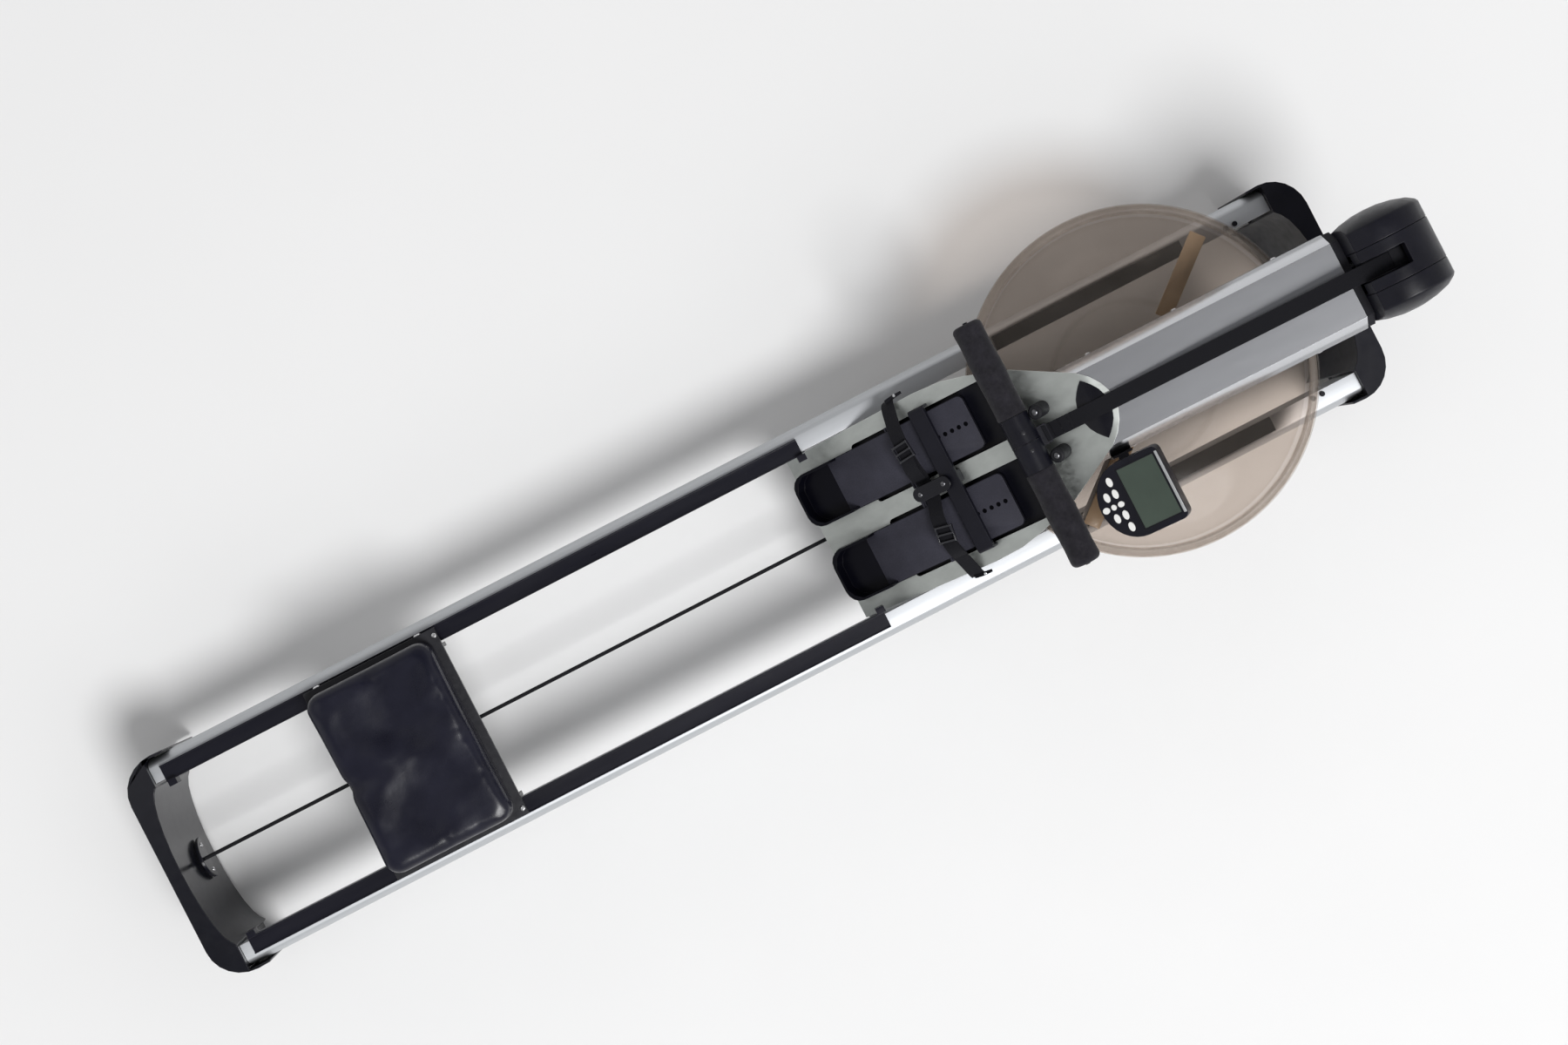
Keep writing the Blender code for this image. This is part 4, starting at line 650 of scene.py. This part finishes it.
def inflate(item, rest, most):
    """Swell a closed mesh with cloth pressure, letting no point move further than most."""
    cloth = item.modifiers.new("cloth", "CLOTH")
    cloth.settings.use_pressure = True
    cloth.settings.uniform_pressure_force = AIR_PRESSURE
    cloth.settings.effector_weights.gravity = 0.0
    cloth.point_cache.frame_start = 1
    cloth.point_cache.frame_end = CLOTH_STEPS
    for step in range(1, CLOTH_STEPS + 1):
        bpy.context.scene.frame_set(step)
    graph = bpy.context.evaluated_depsgraph_get()
    moved = [vertex.co.copy() for vertex in item.evaluated_get(graph).data.vertices]
    item.modifiers.clear()
    bpy.context.scene.frame_set(1)
    for vertex, start, end in zip(item.data.vertices, rest, moved):
        shift = end - start
        if shift.length > most:
            shift *= most / shift.length
        vertex.co = start + shift


def shape_seat(pad):
    """Press in the sitting hollows, middle relief, rear dimple and creases, inside the seat's box."""
    floor = SEAT_LOW.z + SEAT_FLOOR_LIFT
    hollow_depth = 0.0052
    relief_depth = 0.0026
    dimple_depth = 0.0056
    for vertex in pad.data.vertices:
        x = vertex.co.x - SEAT_X
        y = vertex.co.y
        above = max((vertex.co.z - SEAT_LOW.z - 0.020) / 0.020, 0.0)
        hollow = hollow_depth * math.exp(-(((x + 0.012) / 0.062) ** 2 + ((abs(y) - 0.068) / 0.052) ** 2))
        relief = relief_depth * math.exp(-(y / 0.013) ** 2) * min(max((0.02 - x) / 0.10, 0.0), 1.0)
        dimple = dimple_depth * math.exp(-(((x + 0.086) / 0.030) ** 2 + ((y - 0.020) / 0.034) ** 2))
        creases = 0.0024 * noise.noise(vertex.co * 17.0) + 0.0004 * noise.noise(vertex.co * 48.0)
        vertex.co.z -= min(above, 1.0) * (hollow + relief + dimple + creases)
        vertex.co.z = min(max(vertex.co.z, floor), SEAT_HIGH.z)
        vertex.co.x = min(max(vertex.co.x, SEAT_LOW.x), SEAT_HIGH.x)
        vertex.co.y = min(max(vertex.co.y, SEAT_LOW.y), SEAT_HIGH.y)


def make_seat_shell():
    """Moulded base under the foam, and the screws and wheel bolts of the carriage."""
    shape = bmesh.new()
    base = SEAT_LOW.z + GAP
    levels = [(0.0060, base), (0.0035, base + 0.0015), (0.0032, base + 0.0052), (0.0050, base + 0.0058)]
    add_rings(shape, [[(x, y, z) for x, y in seat_outline(inset, 6)] for inset, z in levels])
    as_object("seat_shell", shape, PLASTIC, "seat")
    screws = bmesh.new()
    for y in (-SCREW_Y, SCREW_Y):
        add_screw(screws, (CARRIAGE_HIGH.x - 0.0052, y, CARRIAGE_HIGH.z), (0, 0, 1), 0.0040, 0.0026)
    for side in (-1, 1):
        for x in (SEAT_X - HUB_CAP_X, SEAT_X + HUB_CAP_X):
            add_screw(screws, (x, side * HUB_CAP_Y, HUB_CAP_Z), (0, side, 0), 0.0060, 0.0030)
    as_object("seat_screws", screws, STEEL, "seat")


# ---------------- handle and straps
GRIP_BORE = 0.0116
GRIP_SWELL = 0.0006
GRIP_DIMPLES = 0.0004
HANDLE_RADIUS = 0.0234
PULL_WIDTH = 0.0252
PULL_THICKNESS = 0.0015
LOOP_WIDTH = 0.0250
LOOP_THICKNESS = 0.0014
STITCHES = 9
STITCH_PITCH = 0.0026


def make_grips():
    """Foam sleeves, softly swollen and rounded over at their ends."""
    for side, label in ((1, "left"), (-1, "right")):
        low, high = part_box("handle_grip_" + label)
        inner, outer = (low.y, high.y) if side > 0 else (high.y, low.y)
        radius = (high.x - low.x) / 2
        end = outer + side * 0.0008
        length = abs(end - inner)
        profile = [(GRIP_BORE, inner), (radius - 0.0020, inner + side * 0.0002)]
        steps = 14
        for i in range(steps + 1):
            part = i / steps
            swell = GRIP_SWELL * math.sin(part * math.pi * 3)
            profile.append((radius - 0.0007 - swell, inner + side * (0.0022 + (length - 0.012) * part)))
        for angle in range(15, 91, 15):
            turn = math.radians(angle)
            reach = radius - 0.009 + 0.0083 * math.cos(turn)
            profile.append((reach, end - side * (0.0088 - 0.0088 * math.sin(turn))))
        profile += [(0.0070, end), (0.0060, end - side * 0.0020), (GRIP_BORE - 0.0045, end - side * 0.0040)]
        shape = bmesh.new()
        add_lathe(shape, profile, "Y", (HANDLE_X, 0, HANDLE_Z), 56)
        grip = as_object("grip_foam_" + label, shape, FOAM, "handle",
                         ["handle_grip_" + label])
        for vertex in grip.data.vertices:
            offset = Vector((vertex.co.x - HANDLE_X, 0, vertex.co.z - HANDLE_Z))
            if offset.length > 0.015:
                vertex.co -= offset.normalized() * GRIP_DIMPLES * (1 + noise.noise(vertex.co * 70.0))


def strap_points(spacing=0.006):
    """The pull strap's upper run: handle tongue, over the ridge, up to the pulley."""
    route = [(HANDLE_X + 0.0390, HANDLE_Z + 0.0010), (HANDLE_X + 0.060, 0.3842), (0.5121, 0.3995),
             (0.5241, 0.4022), (0.5361, 0.4042), (STRAP_HIGH.x, STRAP_HIGH.z - 0.0009)]
    points = [Vector((x, 0, z)) for x, z in route]
    dense = []
    for start, end in zip(points, points[1:]):
        parts = max(int((end - start).length / spacing), 1)
        dense += [start.lerp(end, k / parts) for k in range(parts)]
    return dense + [points[-1]]


def make_pull_strap():
    """Webbing from the handle to the pulley, doubled and stitched where it loops round the tongue."""
    across = Vector((0, 1, 0))
    centres = strap_points()
    shape = bmesh.new()
    add_ribbon(shape, centres, [across] * len(centres), PULL_WIDTH, PULL_THICKNESS)
    strap = as_object("pull_webbing", shape, WEBBING, None, ["pull_strap"])
    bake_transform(strap)
    top = bmesh.new()
    route = [(0.030, HANDLE_Z + 0.0072), (0.041, HANDLE_Z + 0.0045), (0.060, 0.3862), (0.074, 0.3905)]
    lapped = smooth_points([(HANDLE_X + x, 0, z) for x, z in route], 4)
    add_ribbon(top, lapped, [across] * len(lapped), LOOP_WIDTH, LOOP_THICKNESS)
    as_object("pull_loop", top, WEBBING, "handle")
    thread = bmesh.new()
    for x, z in ((HANDLE_X + 0.0430, 0.3802), (HANDLE_X + 0.0560, 0.3857), (HANDLE_X + 0.0690, 0.3899)):
        for i in range(STITCHES):
            y = -0.0104 + STITCH_PITCH * i
            add_block(thread, (x - 0.0004, y - 0.0010, z), (x + 0.0004, y + 0.0010, z + 0.0007), 0.0003)
    as_object("loop_stitches", thread, GLOSSY, "handle")


def make_handle_trim():
    """Seam band and bolts on the middle of the handle."""
    shape = bmesh.new()
    inner = HANDLE_RADIUS - 0.0010
    profile = [(inner, -0.0012), (HANDLE_RADIUS, -0.0008), (HANDLE_RADIUS, 0.0008), (inner, 0.0012)]
    add_lathe(shape, profile, "Y", (HANDLE_X, 0, HANDLE_Z), 48)
    as_object("handle_seam", shape, GLOSSY, "handle")
    bolts = bmesh.new()
    for y in (-0.0125, 0.0165):
        add_screw(bolts, (HANDLE_X, y, HANDLE_Z + 0.0229), (0, 0, 1), 0.0034, 0.0014)
    as_object("handle_bolts", bolts, DARK_METAL, "handle")


# ---------------- footboard details
STRAP_MIDDLE = 0.2083
POST_X = 0.4327
POST_Y = 0.036
POST_HEIGHT = 0.036
PAD_TOP = 0.0063
SKIN_REAR = 0.0680
SKIN_FRONT = 0.3255
SKIN_HALF = 0.0435
SKIN_CORNER = 0.0095
FIRST_HOLE = 0.2609
HOLE_PITCH = 0.0128
HOLE_RADIUS = 0.0036
PEG_HOLES = 5
CLAMP_X = 0.2206
CLAMP_SCREW_X = 0.0215
CLAMP_TOP = 0.0290
FOOT_WEBBING_WIDTH = 0.0245
FOOT_WEBBING_THICKNESS = 0.0019
LOOSE_WIDTH = 0.0240
LOOSE_THICKNESS = 0.0018
TAIL_WIDTH = 0.0220
BUCKLE_Y = 0.071
BUCKLE_Z = 0.0300
TAB_REAR = 0.1820
TAB_FRONT = 0.2025
TAB_RIBS = 4
RIB_PITCH = 0.0046


def make_foot_straps():
    """Webbing over each forefoot, from the plate's edge to the clamp, with its buckle and loose end."""
    for side, label in ((1, "left"), (-1, "right")):
        route = [(0.1525, -0.008), (0.1505, 0.000), (0.1440, 0.0063), (0.128, 0.0143), (0.105, 0.0245),
                 (0.085, 0.0283), (0.060, 0.0283), (0.040, 0.0240), (0.024, 0.0168), (0.0115, 0.0128)]
        flat = smooth_points(route, 5)
        drift = 0.003 if side < 0 else -0.001
        centres = [on_plate(STRAP_MIDDLE + drift * math.sin(7 * i / len(flat)), side * p.x, p.y)
                   for i, p in enumerate(flat)]
        slope = along_plate(1, 0, 0)
        lean = along_plate(0, side, 0)
        across = []
        for i in range(len(centres)):
            skew = 0.12 * math.sin(5 * i / len(centres) + (1 if side > 0 else 3))
            across.append((slope + lean * skew).normalized())
        shape = bmesh.new()
        add_ribbon(shape, centres, across, FOOT_WEBBING_WIDTH, FOOT_WEBBING_THICKNESS)
        as_object("foot_webbing_" + label, shape, WEBBING, "frame", ["foot_strap_" + label])
        make_loose_end(side, label)
        make_buckle(side, label)


def make_loose_end(side, label):
    """Spare webbing: a lap over the strap from the buckle, and a folded tail at the plate's edge."""
    across = along_plate(1, 0, 0)
    start, end = (0.061, 0.020) if side > 0 else (0.084, 0.112)
    lap = []
    steps = 12
    for i in range(steps + 1):
        part = i / steps
        y = start + (end - start) * part
        height = strap_height(y) + 0.0024 + 0.0035 * math.sin(part * math.pi)
        lap.append(on_plate(STRAP_MIDDLE - 0.0006 - 0.004 * part * side, side * y, height))
    shape = bmesh.new()
    add_ribbon(shape, lap, [across] * len(lap), LOOSE_WIDTH, LOOSE_THICKNESS)
    as_object("loose_end_" + label, shape, WEBBING, "frame")
    tail = [(0.206, 0.1495, 0.0045), (0.212, 0.1515, 0.0035), (0.222, 0.1535, 0.0010),
            (0.234, 0.1545, -0.0040)]
    points = [on_plate(x, side * y, z) for x, y, z in smooth_points(tail, 4)]
    flat = along_plate(0.25, side * 0.8, 0.6).normalized()
    widths = [TAIL_WIDTH * (1 - 0.55 * i / (len(points) - 1)) * 0.55 for i in range(len(points))]
    shape = bmesh.new()
    add_ribbon(shape, points, [flat] * len(points), widths, LOOSE_THICKNESS)
    as_object("folded_tail_" + label, shape, WEBBING, "frame")
    rivets = bmesh.new()
    outward = along_plate(0, side * 0.3, 1)
    add_screw(rivets, on_plate(0.2240, side * 0.1545, 0.0032), outward, 0.0024, 0.0010)
    as_object("tail_rivet_" + label, rivets, SILVER, "frame")


def strap_height(y):
    """Height of the foot strap's middle above the plate at a distance from the centre line."""
    stations = [(0.0115, 0.0128), (0.024, 0.0168), (0.040, 0.0240), (0.060, 0.0283), (0.085, 0.0283),
                (0.105, 0.0245), (0.128, 0.0143), (0.144, 0.0063), (0.1505, 0.0)]
    for (y0, z0), (y1, z1) in zip(stations, stations[1:]):
        if y <= y1:
            return z0 + (z1 - z0) * (y - y0) / (y1 - y0)
    return 0.0


def make_buckle(side, label):
    """Ladder buckle: two side rails and three cross bars, lying on the strap."""
    shape = bmesh.new()
    edge = 0.0012
    for x in (STRAP_MIDDLE - 0.0150, STRAP_MIDDLE + 0.0122):
        add_block(shape, (x, -0.0140, -0.0012), (x + 0.0030, 0.0140, 0.0040), edge)
    rear = STRAP_MIDDLE - 0.0142
    front = STRAP_MIDDLE + 0.0146
    for y in (-0.0135, -0.0016, 0.0103):
        add_block(shape, (rear, y, 0.0010), (front, y + 0.0032, 0.0044), edge)
    turn = 0.10 if side > 0 else -0.16
    place = Matrix.Translation((0, side * BUCKLE_Y, BUCKLE_Z))
    pivot = Matrix.Translation((STRAP_MIDDLE, 0, 0))
    spin = pivot @ Matrix.Rotation(turn, 4, "Z") @ pivot.inverted()
    as_object("strap_buckle_" + label, shape, BUCKLE, "frame",
              matrix=FOOT @ place @ spin)


def make_foot_details():
    """Screws of the strap clamp and posts, and rubber skins and ribbed side tabs of the foot pads."""
    screws = bmesh.new()
    up = along_plate(0, 0, 1)
    for x in (CLAMP_X - CLAMP_SCREW_X, CLAMP_X + CLAMP_SCREW_X):
        add_screw(screws, on_plate(x, 0, CLAMP_TOP), up, 0.0036, 0.0016)
    for side in (-1, 1):
        add_screw(screws, on_plate(POST_X, side * POST_Y, POST_HEIGHT), up, 0.0046, 0.0020)
    as_object("footboard_screws", screws, BOLT, "frame")
    for side, label in ((1, "left"), (-1, "right")):
        shape = bmesh.new()
        for low_y, high_y in ((0.0107, 0.0235), (0.1085, 0.1166)):
            y0, y1 = sorted((side * low_y, side * high_y))
            add_block(shape, (TAB_REAR, y0, 0.0009), (TAB_FRONT, y1, 0.0052), 0.0012)
            for i in range(TAB_RIBS):
                x = TAB_REAR + 0.0022 + RIB_PITCH * i
                add_block(shape, (x, y0 + 0.0008, 0.0046), (x + 0.0022, y1 - 0.0008, 0.0068), 0.0008)
        as_object("pad_tabs_" + label, shape, FOOT_PAD, "heel_" + label, matrix=FOOT)
        make_pad_skin(side, label)


def make_pad_skin(side, label):
    """Thin textured rubber skin glued on the foot pad in front of its heel cup, with near-black discs that
    paint the shade inside the peg holes.
    """
    shape = bmesh.new()
    rings = []
    for inset, z in ((0.0, PAD_TOP - 0.0002), (0.0, PAD_TOP + 0.0005), (0.0004, PAD_TOP + 0.0008)):
        corner = SKIN_CORNER - inset
        front = (SKIN_FRONT - SKIN_CORNER, SKIN_HALF - SKIN_CORNER)
        half = arc(front, (corner, corner), 0, 90, 6) + [(SKIN_REAR + inset, SKIN_HALF - inset)]
        outline = half + [(x, -y) for x, y in reversed(half)]
        rings.append([(x, side * FOOT_Y + y, z) for x, y in outline])
    add_rings(shape, rings)
    as_object("pad_skin_" + label, shape, FOOT_PAD, "heel_" + label, matrix=FOOT)
    # Painted shade: near-black discs over the peg holes.
    hole_shades = bmesh.new()
    top = PAD_TOP + 0.0009
    disc = [(0, PAD_TOP), (HOLE_RADIUS, PAD_TOP), (HOLE_RADIUS, top), (0, top)]
    for i in range(PEG_HOLES):
        add_lathe(hole_shades, disc, "Z", (FIRST_HOLE + HOLE_PITCH * i, side * FOOT_Y, 0), 24)
    as_object("pad_hole_shades_" + label, hole_shades, PEG_HOLE_SHADE, "heel_" + label, matrix=FOOT)


# ---------------- tank
TANK_WALL = 0.004
TANK_STEPS = 112
WATER_LEVEL = 0.2520
WATER_RADIUS = 0.2540
FILL_HOLE_RADIUS = 0.0086
SHAFT_RADIUS = 0.0058
SHAFT_BOTTOM = 0.1562
SHAFT_TOP = 0.3849
BLADE_TURN = 40           # degrees from the machine's length
BLADE_END = 0.2378


def lower_profile(inset):
    points = [(0.0, 0.1470), (0.060, 0.1505), (0.100, 0.1620), (0.125, 0.1780), (0.1405, 0.2050),
              (0.180, 0.2085), (0.220, 0.2180), (0.247, 0.2340), (0.260, 0.2540)]
    dense = smooth_points(points, 5)
    return [(max(p.x - (inset * 0.45 if p.x > 0.002 else 0), 0.0), p.y + inset) for p in dense]


def upper_profile(inset):
    points = [(0.263, 0.2760), (0.258, 0.2860), (0.245, 0.2940), (0.220, 0.3020), (0.180, 0.3100),
              (0.120, 0.3160), (0.060, 0.3185), (0.0240, 0.3190)]
    dense = smooth_points(points, 5)
    return [(p.x - inset * 0.4, p.y - inset) for p in dense]


def turn_piece(name, profile, steps, finish, body, replaces=()):
    """Make a piece by turning a profile about the tank's axis."""
    shape = bmesh.new()
    add_lathe(shape, profile, "Z", (TANK_X, 0, 0), steps)
    as_object(name, shape, finish, body, replaces)


def make_tank():
    """Two clear smoked shells with a flanged rim, and the water in them."""
    rim = TANK_HIGH.x - TANK_X
    lower = lower_profile(0) + [(rim - 0.0015, 0.2568), (rim, 0.2580), (rim, 0.2615), (0.2570, 0.2618)]
    lower += lower_profile(TANK_WALL)[::-1]
    turn_piece("tank_shell_lower", lower, TANK_STEPS, BOWL, "frame", ["tank_lower"])
    upper = [(0.2570, 0.2655), (rim, 0.2655), (rim, 0.2700), (rim - 0.0020, 0.2720), (0.2655, 0.2722)]
    upper += upper_profile(0) + [(FILL_HOLE_RADIUS, 0.3190), (FILL_HOLE_RADIUS, 0.3150)]
    upper += upper_profile(TANK_WALL)[::-1]
    turn_piece("tank_shell_upper", upper, TANK_STEPS, SMOKED, "frame", ["tank_upper"])
    dip = 0.0008
    ripple = 0.0004
    water = [(0.0, 0.1524)] + [p for p in lower_profile(TANK_WALL + 0.0008) if 0.002 < p[0] < 0.2535]
    water += [(WATER_RADIUS, WATER_LEVEL)]
    steps = 16
    for i in range(1, steps):
        radius = WATER_RADIUS * (1 - i / steps)
        fall = dip * (1 - radius / WATER_RADIUS)
        water.append((radius, WATER_LEVEL - fall + ripple * math.sin(radius * 180)))
    water += [(0, WATER_LEVEL - dip)]
    turn_piece("tank_water", water, 72, WATER, "frame", ["water"])


def make_rotor():
    """Steel shaft, plastic hub, and two blades on spokes with clear flanges."""
    shaft = [(0, SHAFT_BOTTOM), (SHAFT_RADIUS, SHAFT_BOTTOM), (SHAFT_RADIUS, SHAFT_TOP), (0, SHAFT_TOP)]
    turn_piece("rotor_shaft", shaft, 24, STEEL, "paddle", ["rotor"])
    hub = [(0.0060, 0.2372), (0.0172, 0.2372), (0.0180, 0.2380), (0.0180, 0.2892),
           (0.0172, 0.2900), (0.0060, 0.2900)]
    turn_piece("rotor_hub", hub, 36, BLADE_FIN, "paddle")
    fins = bmesh.new()
    flanges = bmesh.new()
    add_block(fins, (0.0165, -0.0040, 0.2580), (0.1030, 0.0040, 0.2700), 0.0010)
    add_block(fins, (0.1000, -0.0015, 0.2380), (BLADE_END, 0.0015, 0.2832), 0.0007)
    add_block(flanges, (0.1000, -0.0015, 0.2833), (BLADE_END, 0.0244, 0.2858), 0.0007)
    for turn in range(2):
        angle = math.radians(BLADE_TURN + 180 * turn)
        spin = Matrix.Translation((TANK_X, 0, 0)) @ Matrix.Rotation(angle, 4, "Z")
        for source, finish, part in ((fins, BLADE_FIN, "fin"), (flanges, BLADE, "flange")):
            as_object(f"rotor_{part}_{turn}", source.copy(), finish, "paddle",
                      matrix=spin)
    fins.free()
    flanges.free()


# ---------------- beam, nose and frame details
ANCHOR_SCREW_Y = 0.022
ANCHOR_SCREW_Z = 0.088
BEAM_SIDE_Y = 0.0765
PEG_Y = 0.1500
SCREEN_BASE = 0.0338
SCREEN_TOP = 0.0346


def beam_top(x):
    """Height of the beam's ridge at a place along the machine."""
    return BEAM_HIGH.z + (x - BEAM_HIGH.x) * math.tan(BEAM_TILT)


def make_gasket():
    """Foam gasket between the beam's end and the nose, slotted where the return strap goes through."""
    shape = bmesh.new()
    rings = []
    for x in (BEAM_HIGH.x + 0.0004, NOSE_LOW.x - 0.0004):
        top = beam_top(x) - 0.0004
        half, flat, drop = 0.0752, 0.0592, 0.0222
        slot, roof, low = 0.0160, top - 0.0440, top - 0.0660
        rings.append([(x, -half, low), (x, -half, top - drop), (x, -flat, top), (x, flat, top),
                      (x, half, top - drop), (x, half, low), (x, slot, low), (x, slot, roof),
                      (x, -slot, roof), (x, -slot, low)])
    add_rings(shape, rings)
    as_object("nose_gasket", shape, GASKET, "frame", angle=20)


def make_frame_screws():
    """Fasteners of the frame: anchor plate, rail end pegs, beam sides."""
    shape = bmesh.new()
    for y in (-ANCHOR_SCREW_Y, ANCHOR_SCREW_Y):
        add_screw(shape, (ANCHOR_HIGH.x, y, ANCHOR_SCREW_Z), (1, 0, 0), 0.0038, 0.0018)
    for side in (-1, 1):
        for x in (0.56, 0.70, 0.86):
            add_screw(shape, (x, side * BEAM_SIDE_Y, beam_top(x) - 0.048), (0, side, 0), 0.0045, 0.0022)
    as_object("frame_screws", shape, STEEL, "frame")
    pegs = bmesh.new()
    profile = [(0, 0.1998), (0.0042, 0.1998), (0.0042, 0.2032), (0.0034, 0.2042), (0, 0.2042)]
    for side in (-1, 1):
        for x in (0.868, 0.884):
            add_lathe(pegs, profile, "Z", (x, side * PEG_Y, 0), 20)
    as_object("rail_pegs", pegs, PLASTIC, "frame")


def make_monitor_trim():
    """Silver band along the monitor's front edge, and the thin surround of its screen."""
    shape = bmesh.new()
    add_block(shape, (0.0488, -0.0500, 0.0335), (0.0530, 0.0500, 0.0347), 0.0005)
    as_object("monitor_band", shape, SILVER, "monitor", matrix=MONITOR)
    ring = bmesh.new()
    outer = rounded_rectangle((-0.0160, -0.0500), (0.0478, 0.0500), 0.0020, 3)
    inner = rounded_rectangle((-0.0138, -0.0478), (0.0458, 0.0478), 0.0010, 3)
    levels = [(outer, SCREEN_BASE), (outer, SCREEN_TOP), (inner, SCREEN_TOP), (inner, SCREEN_BASE)]
    add_rings(ring, [[(x, y, z) for x, y in outline] for outline, z in levels], closed=True)
    as_object("screen_surround", ring, GLOSSY, "monitor", matrix=MONITOR, angle=20)


make_seat_pad()
make_seat_shell()
make_grips()
make_pull_strap()
make_handle_trim()
make_foot_straps()
make_foot_details()
make_tank()
make_rotor()
make_gasket()
make_frame_screws()
make_monitor_trim()


# ---------------- floor, light and camera
FLOOR_REACH = 60
CAMERA_PLACE = (-0.0125, 0.1345, 3.75)
CAMERA_TURN = math.radians(-27.235)
CAMERA_LENS = 52.0
CAMERA_SHIFT = (0.0342, -0.0180)
SKY_STRENGTH = 0.62
SKY_LOW = (1.0, 1.0, 1.0, 1.0)
SKY_HIGH = (0.22, 0.22, 0.23, 1.0)


def make_stage():
    """Pale paper floor, just under the machine's feet."""
    shape = bmesh.new()
    bmesh.ops.create_grid(shape, x_segments=8, y_segments=8, size=FLOOR_REACH)
    mesh = bpy.data.meshes.new("floor")
    shape.to_mesh(mesh)
    shape.free()
    floor = add_object("floor", mesh)
    floor.location = (0, 0, CAD_BOX[0][2] - 0.0002)
    paper = moulded("floor_paper", (0.80, 0.80, 0.80), 0.9, mottle=0.008, mottle_scale=1.5, grain=0.02)
    mesh.materials.append(paper)


def make_light(name, direction, elevation, distance, size, power):
    """Round area light aimed at the machine, from a direction in degrees about the vertical."""
    data = bpy.data.lights.new(name, "AREA")
    data.shape = "DISK"
    data.size = size
    data.energy = power
    item = add_object(name, data)
    angle = math.radians(direction)
    rise = math.radians(elevation)
    level = math.cos(rise)
    offset = Vector((math.cos(angle) * level, math.sin(angle) * level, math.sin(rise)))
    item.location = offset * distance
    item.rotation_euler = (-offset).to_track_quat("-Z", "Y").to_euler()


def make_sky():
    """Soft studio surround, bright at the horizon and dim overhead."""
    world = bpy.data.worlds.new("studio")
    bpy.context.scene.world = world
    world.use_nodes = True
    tree = world.node_tree
    coordinates = add_node(tree, "ShaderNodeTexCoord").outputs["Generated"]
    split = add_node(tree, "ShaderNodeSeparateXYZ", {0: coordinates})
    height = between(tree, split.outputs["Z"], 0, 1, 0.50, 0.95)
    colours = mix_colours(tree, height, SKY_LOW, SKY_HIGH)
    fill_inputs(tree, tree.nodes["Background"], {"Color": colours, "Strength": SKY_STRENGTH})


def make_camera():
    data = bpy.data.cameras.new("camera")
    data.sensor_width = 36.0
    data.lens = CAMERA_LENS
    data.shift_x, data.shift_y = CAMERA_SHIFT
    camera = add_object("camera", data)
    camera.location = CAMERA_PLACE
    camera.rotation_euler = (0, 0, CAMERA_TURN)
    bpy.context.scene.camera = camera


make_stage()
make_sky()
make_light("key", direction=-74, elevation=62, distance=16.0, size=6.2, power=1940)
make_light("window", direction=-60, elevation=40, distance=14.0, size=8.0, power=190)
make_light("fill", direction=150, elevation=60, distance=8.0, size=4.0, power=20)
make_camera()
bpy.context.scene.view_settings.view_transform = "Standard"
